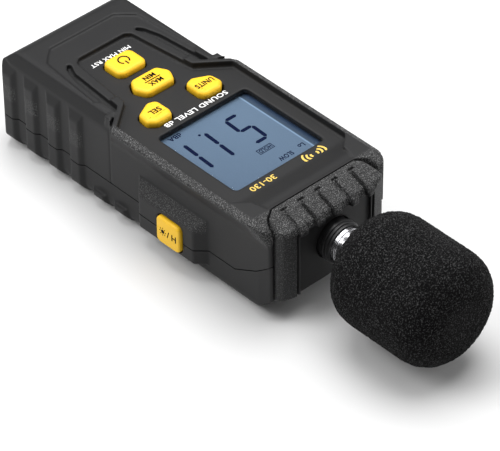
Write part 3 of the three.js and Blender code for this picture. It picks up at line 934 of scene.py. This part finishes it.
strip_places = [i * STRIP_PITCH - 0.6 for i in (-2, -1, 0, 1, 2)]
cap = piece_of("mic_end_cap_moulding", cap_block())
combine(cap, [pushed(box_outline(-15, 15, CAP_FACE - 1.1, 50, 0.4), -1, 33.2)], "DIFFERENCE")
skirt = pushed(box_outline(-16.9, 16.9, 31, 36), 5.8, 32.7)
combine(cap, [*(strip(x) for x in strip_places), skirt], "UNION")
rounds = [i * math.tau / 48 for i in range(48)]
mic_hole = pushed([(7.3 * math.cos(a), MIC_Z + 7.3 * math.sin(a)) for a in rounds], 30, 50, "y")
inside = pushed(box_outline(-15.6, 15.6, 30, 41), 10.8, 31.6)


def frame_line(side):
    """The dark groove between the cap's outer frame and its sunken face."""
    middle_x = side * 16.1
    return pushed(box_outline(middle_x - 0.35, middle_x + 0.35, 43.6, 50), -1, 33.6)


frame_lines = both_sides(frame_line)
marks = [shape(x) for x in strip_places for shape in (notch, strip_groove)]
combine(cap, [inside, mic_hole, *frame_lines, *marks], "DIFFERENCE")


def cap_spark(place, normal):
    return max(smooth_step(33.0, 34.5, place.z), 0.4 * smooth_step(16.4, 16.8, abs(place.x)))


cast(cap, 0.26, 3, 0.5)
spark(dress(cap, case_paint), cap_spark)
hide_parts("mic_end_cap")
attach(cap, "meter")

# %% [markdown]
# ## Yellow keys
#
# The keys are soft silicone rubber with a full round edge and a slightly domed top. Each starts from its
# own outline, and bevelling the top rim in several steps gives the round. A finer grain and a little
# sheen make the surface look soft and not glassy.

# %% Keys
KEY_YELLOW = (0.90, 0.535, 0.02)
key_paint = finish("key_rubber", KEY_YELLOW, 0.46, tint=0.05, bump=0.01, grain=0.35, Specular_IOR_Level=0.35)
KEY_TOP = node_box("power_key")[1].z


def domed(shape, top, height, reach):
    """Lifts the middle of a flat top a little."""
    inner = [v.co for v in shape.verts if drawn(v.co).z > top - 0.05]
    centre = sum(inner, Vector()) / len(inner)
    for co in inner:
        share = min(1, (co.xy - centre.xy).length / (reach * MM))
        co.z += height * MM * (1 - share * share)


def key(name):
    low = node_box(f"{name}_key")[0].z
    shape = pushed(KEY_OUTLINES[name], low + 1.6, KEY_TOP - 0.15)
    top_rim = [e for e in shape.edges if all(drawn(v.co).z > KEY_TOP - 0.2 for v in e.verts)]
    bmesh.ops.bevel(shape, geom=top_rim, offset=1.25 * MM, segments=6, profile=0.5, material=-1,
                    affect="EDGES", clamp_overlap=True)
    crown = [f for f in shape.faces if f.normal.z > 0.99 and len(f.verts) > 8]
    bmesh.ops.inset_region(shape, faces=crown, thickness=1.0 * MM, use_even_offset=True)
    domed(shape, KEY_TOP - 0.15, 0.15, 6)
    piece = dress(piece_of(f"{name}_key_rubber", shape), key_paint)
    piece.data.shade_smooth()
    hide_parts(f"{name}_key")
    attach(piece, f"{name}_button")
    print(piece.name, len(piece.data.polygons), "faces")
    return piece


for key_name in KEY_OUTLINES:
    key(key_name)

# %% [markdown]
# The side button is the same rubber, a plain pad with small round corners that stands out of the boss.

# %% Side button
def side_button():
    low, high = BUTTON_LOW, BUTTON_HIGH
    middle_y, middle_z = middle((low, high)).y, middle((low, high)).z
    pad = box_outline(middle_y - 5.4, middle_y + 5.4, middle_z - 5.1, middle_z + 5.1, 1.8)
    shape = pushed(pad, low.x + 0.6, high.x, "x")
    face_rim = [e for e in shape.edges if all(drawn(v.co).x > high.x - 0.05 for v in e.verts)]
    bmesh.ops.bevel(shape, geom=face_rim, offset=0.7 * MM, segments=5, profile=0.5, material=-1,
                    affect="EDGES", clamp_overlap=True)
    piece = dress(piece_of("side_button_rubber", shape), key_paint)
    piece.data.shade_smooth()
    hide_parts("side_button")
    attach(piece, "hold_button")


side_button()

# %% [markdown]
# ## Printing
#
# Legends are screen printed, a film of ink a few hundredths of a millimetre thick. A text object gives
# the letter shapes. It is made a mesh, merged, and laid on its surface before the ink is put on.

# %% Inks and lettering
white_ink = finish("white_ink", (0.85, 0.85, 0.85), 0.5, tint=0.02)
black_ink = finish("black_ink", (0.006, 0.005, 0.005), 0.7, tint=0.1, Specular_IOR_Level=0.1)
gold_ink = finish("gold_ink", (0.80, 0.56, 0.12), 0.38, metallic=0.35, tint=0.12)
lcd_ink = finish("lcd_segments", (0.002, 0.006, 0.032), 0.7, tint=0.1, Specular_IOR_Level=0.05)
INK = 0.03


def flat_text(words, height, spacing=1.0, weight=0.0):
    """The words as a thin closed bmesh centred on the origin, its capitals height mm tall."""
    CAPITAL = 0.69
    curve = bpy.data.curves.new("words", "FONT")
    curve.body = words
    curve.size = height * MM / CAPITAL
    curve.extrude = INK * MM / 2
    curve.offset = weight * MM
    curve.space_character = spacing
    curve.resolution_u = 3
    letters = bpy.data.objects.new("words", curve)
    bpy.context.scene.collection.objects.link(letters)
    bpy.context.view_layer.update()
    mesh = bpy.data.meshes.new_from_object(letters.evaluated_get(bpy.context.evaluated_depsgraph_get()))
    bpy.data.objects.remove(letters)
    shape = bmesh.new()
    shape.from_mesh(mesh)
    bpy.data.meshes.remove(mesh)
    bmesh.ops.remove_doubles(shape, verts=shape.verts, dist=1e-7)
    xs = [v.co.x for v in shape.verts]
    shift = Vector((-(min(xs) + max(xs)) / 2, -height * MM / 2, 0))
    bmesh.ops.translate(shape, verts=shape.verts, vec=shift)
    return shape


FACES = {
    "up": Matrix.Identity(4),
    "right": Matrix(((0, 0, 1, 0), (1, 0, 0, 0), (0, 1, 0, 0), (0, 0, 0, 1))),
}


def printed(name, shape, place, ink, body="meter", face="up", width=None):
    """Lays flat ink on a surface at place in mm, squeezed to width mm if that is given."""
    if width:
        xs = [v.co.x for v in shape.verts]
        squeeze = width * MM / (max(xs) - min(xs))
        bmesh.ops.scale(shape, verts=shape.verts, vec=(squeeze, 1, 1))
    bmesh.ops.transform(shape, verts=shape.verts, matrix=FACES[face])
    bmesh.ops.translate(shape, verts=shape.verts, vec=at(*place))
    piece = dress(piece_of(name, shape), ink)
    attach(piece, body)
    return piece


def flat_shape(*outlines):
    """Outlines in mm as one thin closed bmesh round the origin."""
    whole = bmesh.new()
    for corners in outlines:
        ring = [whole.verts.new((p.x * MM, p.y * MM, -INK * MM / 2)) for p in outline(corners)]
        made = bmesh.ops.extrude_face_region(whole, geom=[whole.faces.new(ring)])
        top = [v for v in made["geom"] if isinstance(v, bmesh.types.BMVert)]
        bmesh.ops.translate(whole, verts=top, vec=(0, 0, INK * MM))
    bmesh.ops.recalc_face_normals(whole, faces=whole.faces)
    return whole


def arc_band(radius, width, start, end, steps=16):
    """Part of a ring, from one angle in degrees to another."""
    angles = [math.radians(start + (end - start) * i / steps) for i in range(steps + 1)]
    outer = [((radius + width / 2) * math.cos(a), (radius + width / 2) * math.sin(a)) for a in angles]
    inner = [((radius - width / 2) * math.cos(a), (radius - width / 2) * math.sin(a)) for a in angles]
    return outer + inner[::-1]


# %% [markdown]
# The panel has a line of white lettering between the keys and the display, a small white line above the
# power key, and two gold marks at the microphone end: plain sound waves and a measuring range.

# %% Panel lettering
PANEL_INK_Z = PANEL_Z + INK / 2
title = flat_text("SOUND LEVEL dB", 1.9, 1.05, 0.04)
printed("panel_title", title, (-1.3, -20.9, PANEL_INK_Z), white_ink, width=26.5)
reset = flat_text("MIN MAX RST", 1.7, 1.05, 0.03)
printed("reset_legend", reset, (0.2, -60.6, PANEL_INK_Z), white_ink, width=16.5)
WAVE_RADII = (1.0, 2.1, 3.2)
right_waves = [arc_band(r, 0.55, -42, 42) for r in WAVE_RADII]
left_waves = [arc_band(r, 0.55, 138, 222) for r in WAVE_RADII]
waves = flat_shape(*right_waves, *left_waves)
printed("wave_mark", waves, (-12.8, 21.7, PANEL_INK_Z), gold_ink, width=9.6)
printed("range_legend", flat_text("30-130", 2.2, 1.0, 0.05), (8.9, 21.2, PANEL_INK_Z), gold_ink, width=10.4)

# %% [markdown]
# The key legends are black. The power sign is a broken ring with a bar. The max/min key has its two
# words above and below a line.

# %% Key legends
KEY_INK_Z = KEY_TOP + INK / 2 + 0.005
power_sign = flat_shape(arc_band(1.9, 0.5, 125, 415, 28), box_outline(-0.25, 0.25, 0.7, 2.6))
printed("power_sign", power_sign, (0.0, -54.3, KEY_INK_Z), black_ink, "power_button")


def key_word(name, word, size, x, y, key, width):
    printed(name, flat_text(word, size, 1.05, 0.07), (x, y, KEY_INK_Z), black_ink, key, width=width)


key_word("max_legend", "MAX", 1.9, 0, -38.6, "max_min_button", 5.4)
key_word("min_legend", "MIN", 1.9, 0, -42.0, "max_min_button", 4.6)
dividing_line = flat_shape(box_outline(-3.2, 3.2, -0.17, 0.17))
printed("max_min_line", dividing_line, (0, -40.3, KEY_INK_Z), black_ink, "max_min_button")
key_word("select_legend", "SEL", 2.1, 10.6, -27.2, "select_button", 4.6)
key_word("units_legend", "UNITS", 2.1, -10.7, -27.2, "units_button", 7.2)


def sun_sign():
    rays = []
    for i in range(8):
        turn = Matrix.Rotation(math.tau * i / 8, 2)
        bar = [turn @ Vector(p) for p in ((1.05, -0.13), (1.6, -0.13), (1.6, 0.13), (1.05, 0.13))]
        rays.append([tuple(p) for p in bar])
    disc = [(0.75 * math.cos(math.tau * i / 16), 0.75 * math.sin(math.tau * i / 16)) for i in range(16)]
    return flat_shape(disc, *rays)


button_middle = middle((BUTTON_LOW, BUTTON_HIGH))
BUTTON_FACE = BUTTON_HIGH.x + INK / 2 + 0.005
sun_place = (BUTTON_FACE, button_middle.y - 2.2, button_middle.z)
hold_place = (BUTTON_FACE, button_middle.y + 1.9, button_middle.z)
printed("light_sign", sun_sign(), sun_place, black_ink, "hold_button", "right")
printed("hold_legend", flat_text("/ H", 2.4, 1.0, 0.06), hold_place, black_ink, "hold_button", "right")

# %% [markdown]
# ## The display
#
# The liquid crystal glass lies just under a clear lens. Its ground is a blue-grey with painted light on it:
# painted shading that is lighter towards the far corner, and painted highlight and shadow lines where the
# edges of the lens would throw them. Each segment is a bar with pointed ends on a slightly slanting grid.
# A table of which of the seven segments light up is all that a digit needs.

# %% Display ground and lens
lcd_high = node_box("lcd_glass")[1]


def lcd_finish():
    paint = finish("lcd_ground", (0.17, 0.25, 0.36), 0.5, tint=0.03, Specular_IOR_Level=0.1)
    tree = paint.node_tree
    surface = tree.nodes["Principled BSDF"]
    coordinates = tree.nodes["Texture Coordinate"]
    # Painted shading: the blue-grey is mixed lighter towards the far corner.
    turned = tree.nodes.new("ShaderNodeMapping")
    turned.inputs["Location"].default_value = (0.5, 0.5, 0)
    turned.inputs["Rotation"].default_value = (0, 0, math.radians(-45))
    turned.inputs["Scale"].default_value = (14, 14, 14)
    tree.links.new(coordinates.outputs["Object"], turned.inputs["Vector"])
    sweep = tree.nodes.new("ShaderNodeTexGradient")
    tree.links.new(turned.outputs["Vector"], sweep.inputs["Vector"])
    painted_shading = tree.nodes.new("ShaderNodeMix")
    painted_shading.data_type = "RGBA"
    painted_shading.inputs["A"].default_value = (0.12, 0.18, 0.26, 1)
    painted_shading.inputs["B"].default_value = (0.075, 0.115, 0.175, 1)
    tree.links.new(sweep.outputs["Fac"], painted_shading.inputs["Factor"])

    # Painted highlight and shadow along the lens edges: a dark band of painted shadow with a bright line on
    # the far edge, and a bright painted rim on the near edge.
    low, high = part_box("display_window")
    split = tree.nodes.new("ShaderNodeSeparateXYZ")
    tree.links.new(coordinates.outputs["Object"], split.inputs["Vector"])
    across = tree.nodes.new("ShaderNodeMapRange")
    across.inputs["From Min"].default_value = low.x
    across.inputs["From Max"].default_value = high.x
    tree.links.new(split.outputs["X"], across.inputs["Value"])
    edge_light = tree.nodes.new("ShaderNodeValToRGB")
    edge_light.color_ramp.elements[0].color = (0.3, 0.35, 0.45, 1)
    edge_light.color_ramp.elements[1].color = (3.0, 2.6, 2.2, 1)
    for position, level in ((0.05, 0.45), (0.06, 2.0), (0.075, 1.0), (0.965, 1.0), (0.98, 2.4)):
        edge_light.color_ramp.elements.new(position).color = (level, level, level, 1)
    tree.links.new(across.outputs["Result"], edge_light.inputs["Fac"])
    lit = tree.nodes.new("ShaderNodeMix")
    lit.data_type = "RGBA"
    lit.blend_type = "MULTIPLY"
    lit.inputs["Factor"].default_value = 1
    tree.links.new(painted_shading.outputs["Result"], lit.inputs["A"])
    tree.links.new(edge_light.outputs["Color"], lit.inputs["B"])
    tree.links.new(lit.outputs["Result"], surface.inputs["Base Color"])
    return paint


def clear_finish():
    return finish("clear_lens", (0.01, 0.012, 0.016), 0.06, tint=0.01, Alpha=0.04)


dress(frame["nodes"]["lcd_glass"], lcd_finish())


def lens():
    low, high = node_box("display_window")
    shape = pushed(box_outline(low.x, high.x, low.y, high.y, 1.4), low.z, high.z)
    top_rim = [e for e in shape.edges if all(drawn(v.co).z > high.z - 0.05 for v in e.verts)]
    bmesh.ops.bevel(shape, geom=top_rim, offset=0.3 * MM, segments=3, profile=0.5, material=-1,
                    affect="EDGES", clamp_overlap=True)
    piece = dress(piece_of("display_lens", shape), clear_finish())
    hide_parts("display_window")
    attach(piece, "meter")


lens()

# %% Digits
SEGMENTS = {"1": "bc", "5": "acdfg"}
DIGIT_HEIGHT = 15.0
DIGIT_WIDTH = 5.0
STROKE = 1.35
SLANT = 0.045
LCD_INK_Z = lcd_high.z + INK / 2 + 0.01


def bar(start, end):
    """One segment between two points, with pointed ends."""
    along = (Vector(end) - Vector(start)).normalized()
    across = Vector((-along.y, along.x)) * STROKE / 2
    first = Vector(start) + along * 0.15
    last = Vector(end) - along * 0.15
    shoulder = along * STROKE / 2
    corners = [first, first + shoulder + across, last - shoulder + across]
    corners += [last, last - shoulder - across, first + shoulder - across]
    return [(c.x + SLANT * c.y, c.y) for c in corners]


def digit(character):
    w, h = DIGIT_WIDTH / 2, DIGIT_HEIGHT / 2
    ends = {
        "a": ((-w, h), (w, h)),
        "b": ((w, h), (w, 0)),
        "c": ((w, 0), (w, -h)),
        "d": ((-w, -h), (w, -h)),
        "e": ((-w, 0), (-w, -h)),
        "f": ((-w, h), (-w, 0)),
        "g": ((-w, 0), (w, 0)),
    }
    return flat_shape(*(bar(*ends[s]) for s in SEGMENTS[character]))


DIGIT_Y = -4.8
for name, character, x in (("tens", "5", -8.0), ("ones", "1", 1.0), ("tenths", "1", 9.9)):
    printed(f"lcd_{name}", digit(character), (x, DIGIT_Y, LCD_INK_Z), lcd_ink)
point = flat_shape([(0.5 * math.cos(math.tau * i / 12), 0.5 * math.sin(math.tau * i / 12)) for i in range(12)])
printed("lcd_point", point, (5.0, -12.5, LCD_INK_Z), lcd_ink)


def boxed_word():
    frame_box = [box_outline(-3.1, 3.1, 1.0, 1.25), box_outline(-3.1, 3.1, -1.25, -1.0)]
    frame_box += [box_outline(-3.1, -2.85, -1.0, 1.0), box_outline(2.85, 3.1, -1.0, 1.0)]
    return flat_shape(*frame_box)


printed("lcd_hold_box", boxed_word(), (-5.5, 6.9, LCD_INK_Z), lcd_ink)
printed("lcd_hold", flat_text("HOLD", 1.5, 1.05, 0.05), (-5.5, 6.9, LCD_INK_Z), lcd_ink, width=5.0)
printed("lcd_low", flat_text("Lo", 1.8, 1.05, 0.06), (-15.0, 13.4, LCD_INK_Z), lcd_ink, width=2.4)
printed("lcd_slow", flat_text("SLOW", 1.9, 1.05, 0.06), (-7.8, 14.0, LCD_INK_Z), lcd_ink, width=5.8)
printed("lcd_unit", flat_text("dBA", 1.9, 1.05, 0.06), (11.4, -17.0, LCD_INK_Z), lcd_ink, width=5.2)
print("display ready")

# %% [markdown]
# ## The microphone
#
# A bright plated barrel comes out of a black knurled collar, and a grille with fine slots closes its
# end. All of them are turned parts, so each is half a profile spun round the microphone's axis.

# %% Turned parts
MIC_AXIS = at(0, 0, MIC_Z)


def turned(profile, steps=96):
    """A closed (radius, y) profile in mm spun round the microphone's axis."""
    shape = bmesh.new()
    ring = [shape.verts.new(at(r, y, MIC_Z)) for r, y in profile]
    edges = [shape.edges.new((a, b)) for a, b in zip(ring, ring[1:] + ring[:1])]
    bmesh.ops.spin(
        shape,
        geom=ring + edges,
        cent=MIC_AXIS,
        axis=(0, 1, 0),
        angle=math.tau,
        steps=steps,
        use_merge=True,
        use_duplicate=False,
    )
    bmesh.ops.remove_doubles(shape, verts=shape.verts, dist=1e-7)
    bmesh.ops.dissolve_degenerate(shape, edges=shape.edges, dist=1e-7)
    bmesh.ops.recalc_face_normals(shape, faces=shape.faces)
    return shape


def rounded(profile):
    return [tuple(p) for p in outline(profile)]


chrome = finish("bright_plating", (0.56, 0.56, 0.58), 0.2, metallic=1.0, tint=0.04, grain=0.5)
black_metal = finish("black_oxide", (0.006, 0.006, 0.0065), 0.42, tint=0.15, bump=0.004)
barrel_low, barrel_high = node_box("mic_barrel")
BARREL_R = barrel_high.x
collar_low, collar_high = node_box("mic_collar")


def barrel():
    bore = BARREL_R - 0.75
    profile = [
        (bore, barrel_low.y),
        (BARREL_R, barrel_low.y),
        (BARREL_R, 50.2, 0.1),
        (BARREL_R - 0.35, 50.4, 0.1),
        (BARREL_R - 0.35, 51.4, 0.1),
        (BARREL_R, 51.6, 0.1),
        (BARREL_R, barrel_high.y, 0.6),
        (bore, barrel_high.y),
    ]
    piece = dress(piece_of("mic_barrel_tube", turned(rounded(profile))), chrome)
    soft_edges(piece)
    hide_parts("mic_barrel")
    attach(piece, "meter")


def collar():
    bore = BARREL_R + 0.2
    flange_end = collar_low.y + 1.5
    profile = [(bore, collar_low.y), (8, collar_low.y), (8, flange_end, 0.1), (7, flange_end), (7, 45.2, 0.1)]
    pitch = 1.3
    for i in range(2):
        y = 45.6 + i * pitch
        profile += [(7.4, y, 0.12), (7.4, y + 0.9, 0.12), (6.95, y + 1.1)]
    profile += [(6.95, collar_high.y, 0.1), (bore, collar_high.y)]
    piece = dress(piece_of("mic_collar_turned", turned(rounded(profile))), black_metal)
    soft_edges(piece)
    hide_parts("mic_collar")
    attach(piece, "meter")


def capsule():
    low, high = node_box("mic_capsule")
    radius = high.x
    grille_y = high.y - 0.5
    profile = [(0, low.y), (radius, low.y), (radius, high.y), (radius - 0.9, high.y), (radius - 0.9, grille_y)]
    body = piece_of("mic_capsule_grille", turned(profile + [(0, grille_y)], 64))
    slots = []
    for i in range(6):
        slot = box_outline(1.4, radius - 1.3, MIC_Z - 0.25, MIC_Z + 0.25)
        bar_cut = pushed(slot, high.y - 1.4, high.y + 1, "y")
        turn = Matrix.Rotation(math.tau * i / 6, 3, "Y")
        bmesh.ops.rotate(bar_cut, verts=bar_cut.verts, cent=MIC_AXIS, matrix=turn)
        slots.append(bar_cut)
    combine(body, slots, "DIFFERENCE")
    soft_edges(dress(body, black_metal))
    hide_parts("mic_capsule")
    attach(body, "meter")


barrel()
collar()
capsule()
print("microphone ready")

# %% [markdown]
# ## The foam windscreen
#
# Open-cell foam is a sponge of tiny holes, so its outline is never quite sharp and its surface is full
# of fine light and dark points. The ball is a profile spun in many steps. Its skin is then pushed in and
# out by a cell noise a fifth of a millimetre deep, and the material adds the finest pores.

# %% Foam
foam_low, foam_high = node_box("windscreen")
FOAM_R = foam_high.x
FOAM_ROUND = 11.0
FOAM_STEPS = 210
PORE = 0.8
PORE_DEPTH = 0.3


def foam_finish():
    dark = (0.011, 0.011, 0.0115)
    paint = finish("black_foam", dark, 0.95, tint=0.2, bump=0.25, grain=0.3, Specular_IOR_Level=0.1)
    tree = paint.node_tree
    surface = tree.nodes["Principled BSDF"]
    coordinates = tree.nodes["Texture Coordinate"]
    pores = tree.nodes.new("ShaderNodeTexNoise")
    pores.inputs["Scale"].default_value = 1 / (0.5 * MM)
    pores.inputs["Detail"].default_value = 3
    pores.inputs["Roughness"].default_value = 0.7
    tree.links.new(coordinates.outputs["Object"], pores.inputs["Vector"])
    fleck = tree.nodes.new("ShaderNodeValToRGB")
    fleck.color_ramp.elements[0].position = 0.52
    fleck.color_ramp.elements[0].color = (0.002, 0.002, 0.0021, 1)
    fleck.color_ramp.elements[1].position = 0.70
    fleck.color_ramp.elements[1].color = (0.075, 0.075, 0.076, 1)
    tree.links.new(pores.outputs["Fac"], fleck.inputs["Fac"])
    tree.links.new(fleck.outputs["Color"], surface.inputs["Base Color"])
    return paint


def foam_ball():
    bore = BARREL_R + 0.3
    hollow_end = barrel_high.y + 0.3
    length = foam_high.y - foam_low.y
    skin = outline([(bore, foam_low.y), (FOAM_R, foam_low.y, FOAM_ROUND), (FOAM_R, foam_high.y, FOAM_ROUND),
                    (0, foam_high.y)])
    dense = []
    for a, b in zip(skin, skin[1:]):
        parts = max(1, round((b - a).length / 0.6))
        dense += [a.lerp(b, i / parts) for i in range(parts)]
    dense += [skin[-1], Vector((0, hollow_end)), Vector((bore, hollow_end))]
    shape = turned([tuple(p) for p in dense], FOAM_STEPS)
    shape.normal_update()
    for v in shape.verts:
        place = drawn(v.co)
        from_axis = math.hypot(place.x, place.z - MIC_Z)
        if from_axis < bore + 0.5:
            continue
        cell = noise.noise(place / PORE) + 0.5 * noise.noise(place / (0.5 * PORE))
        v.co -= v.normal * (0.12 + PORE_DEPTH * max(-0.35, cell)) * MM
    piece = dress(piece_of("foam_windscreen", shape), foam_finish())
    piece.data.shade_smooth()
    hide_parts("windscreen")
    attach(piece, "foam_windscreen")
    print("foam:", len(piece.data.polygons), "faces over", round(length, 1), "mm")


foam_ball()

# %% [markdown]
# ## The back: cover and screws
#
# The battery cover is a plain panel with three finger grooves and a tab for its screw. The screws have
# rounded heads with a cross slot.

# %% Battery cover
steel = finish("zinc_steel", (0.56, 0.56, 0.55), 0.3, metallic=1.0, tint=0.06, bump=0.003, grain=0.2)
COVER_SCREW_Y = middle(node_box("battery_cover_screw")).y


def battery_cover():
    piece = piece_of("battery_cover_panel", pushed(cover_plan(), cover_low.z, cover_high.z))
    grooves = [pushed(box_outline(-7, 7, y - 0.45, y + 0.45, 0.44), -1, 0.85) for y in (-79, -77, -75)]
    holes = [column(0, COVER_SCREW_Y, 1.5, -1, 5), column(0, COVER_SCREW_Y, 2.4, -1, 1.2)]
    combine(piece, grooves + holes, "DIFFERENCE")
    edges = piece.modifiers.new("edges", "BEVEL")
    edges.width = 0.25 * MM
    edges.segments = 2
    edges.limit_method = "ANGLE"
    settle(piece)
    soft_edges(spark(dress(piece, case_paint), back_spark))
    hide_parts("battery_cover")
    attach(piece, "battery_door")


def screw(node, body):
    low, high = node_box(node)
    x, y = middle((low, high)).x, middle((low, high)).y
    head = high.x - x
    head_top = low.z + (0.8 if head < 2.15 else 2.6)
    shape = column(x, y, head, low.z, min(head_top, low.z + 1.6), 40)
    rim = [e for e in shape.edges if all(drawn(v.co).z < low.z + 0.05 for v in e.verts)]
    bmesh.ops.bevel(shape, geom=rim, offset=0.45 * MM, segments=4, profile=0.5, material=-1,
                    affect="EDGES", clamp_overlap=True)
    piece = piece_of(f"{node}_turned", shape)
    combine(piece, [column(x, y, 1.1, low.z + 0.5, high.z, 24)], "UNION")
    reach = head * 0.6
    slots = [
        box_outline(x - reach, x + reach, y - 0.3, y + 0.3),
        box_outline(x - 0.3, x + 0.3, y - reach, y + reach),
    ]
    combine(piece, [pushed(c, low.z - 1, low.z + 0.75) for c in slots], "DIFFERENCE")
    soft_edges(dress(piece, steel))
    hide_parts(node)
    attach(piece, body)


battery_cover()
screw("battery_cover_screw", "battery_door")
for i in (1, 2, 3, 4):
    screw(f"case_screw_{i}", "meter")

# %% [markdown]
# ## Battery cells
#
# They show when the cover is off. Each is a steel can in a printed sleeve, dark with a copper band at
# the plus end, and the band is painted by height along the cell.

# %% Cells
def cell_finish():
    paint = finish("cell_sleeve", (0.02, 0.02, 0.024), 0.3, metallic=0.4, tint=0.1)
    tree = paint.node_tree
    surface = tree.nodes["Principled BSDF"]
    split = tree.nodes.new("ShaderNodeSeparateXYZ")
    tree.links.new(tree.nodes["Texture Coordinate"].outputs["Object"], split.inputs["Vector"])
    band = tree.nodes.new("ShaderNodeValToRGB")
    band.color_ramp.interpolation = "CONSTANT"
    band.color_ramp.elements[0].color = (0.5, 0.5, 0.5, 1)
    band.color_ramp.elements[1].position = 0.02
    band.color_ramp.elements[1].color = (0.02, 0.02, 0.024, 1)
    for position, colour in ((0.72, (0.55, 0.26, 0.10, 1)), (0.97, (0.6, 0.6, 0.6, 1))):
        band.color_ramp.elements.new(position).color = colour
    reach = tree.nodes.new("ShaderNodeMapRange")
    low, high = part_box("battery_cell_1")
    reach.inputs["From Min"].default_value = low.y
    reach.inputs["From Max"].default_value = high.y
    tree.links.new(split.outputs["Y"], reach.inputs["Value"])
    tree.links.new(reach.outputs["Result"], band.inputs["Fac"])
    tree.links.new(band.outputs["Color"], surface.inputs["Base Color"])
    return paint


cell_paint = cell_finish()


def cell(node):
    low, high = node_box(node)
    centre = middle((low, high))
    radius = high.x - centre.x
    profile = rounded(
        [
            (0, low.y),
            (radius, low.y, 0.5),
            (radius, high.y - 1.0, 0.5),
            (1.8, high.y - 0.9),
            (1.8, high.y, 0.3),
            (0, high.y),
        ]
    )
    shape = turned(profile, 64)
    bmesh.ops.translate(shape, verts=shape.verts, vec=at(centre.x, 0, centre.z) - MIC_AXIS)
    piece = dress(piece_of(f"{node}_can", shape), cell_paint)
    soft_edges(piece)
    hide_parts(node)
    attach(piece, "meter")


for i in (1, 2, 3):
    cell(f"battery_cell_{i}")

# %% [markdown]
# ## Pieces inside
#
# The boards, switches and contacts keep their engineering shapes, which are right as they are, and only
# get their real finishes.

# %% Inner finishes
board_paint = finish("solder_mask", (0.015, 0.13, 0.045), 0.35, tint=0.15, bump=0.01, grain=0.6)
dark_plastic = finish("black_nylon", (0.025, 0.025, 0.026), 0.5, tint=0.1, bump=0.008)
white_plastic = finish("white_diffuser", (0.75, 0.79, 0.83), 0.4, tint=0.03, bump=0.004)
zebra = finish("contact_rubber", (0.10, 0.10, 0.11), 0.8, tint=0.4, bump=0.02, grain=0.15)
brass = finish("turned_brass", (0.60, 0.42, 0.14), 0.28, metallic=1.0, tint=0.08, bump=0.003)
SLOT_PAINTS = {
    "board": board_paint,
    "dark_plastic": dark_plastic,
    "diffuser": white_plastic,
    "zebra_rubber": zebra,
    "brass": brass,
    "steel": steel,
}
node_slots = {part["node"]: part["material_slot"] for part in frame["record"]["subparts"]}
for node, slot in node_slots.items():
    if slot in SLOT_PAINTS:
        dress(frame["nodes"][node], SLOT_PAINTS[slot])
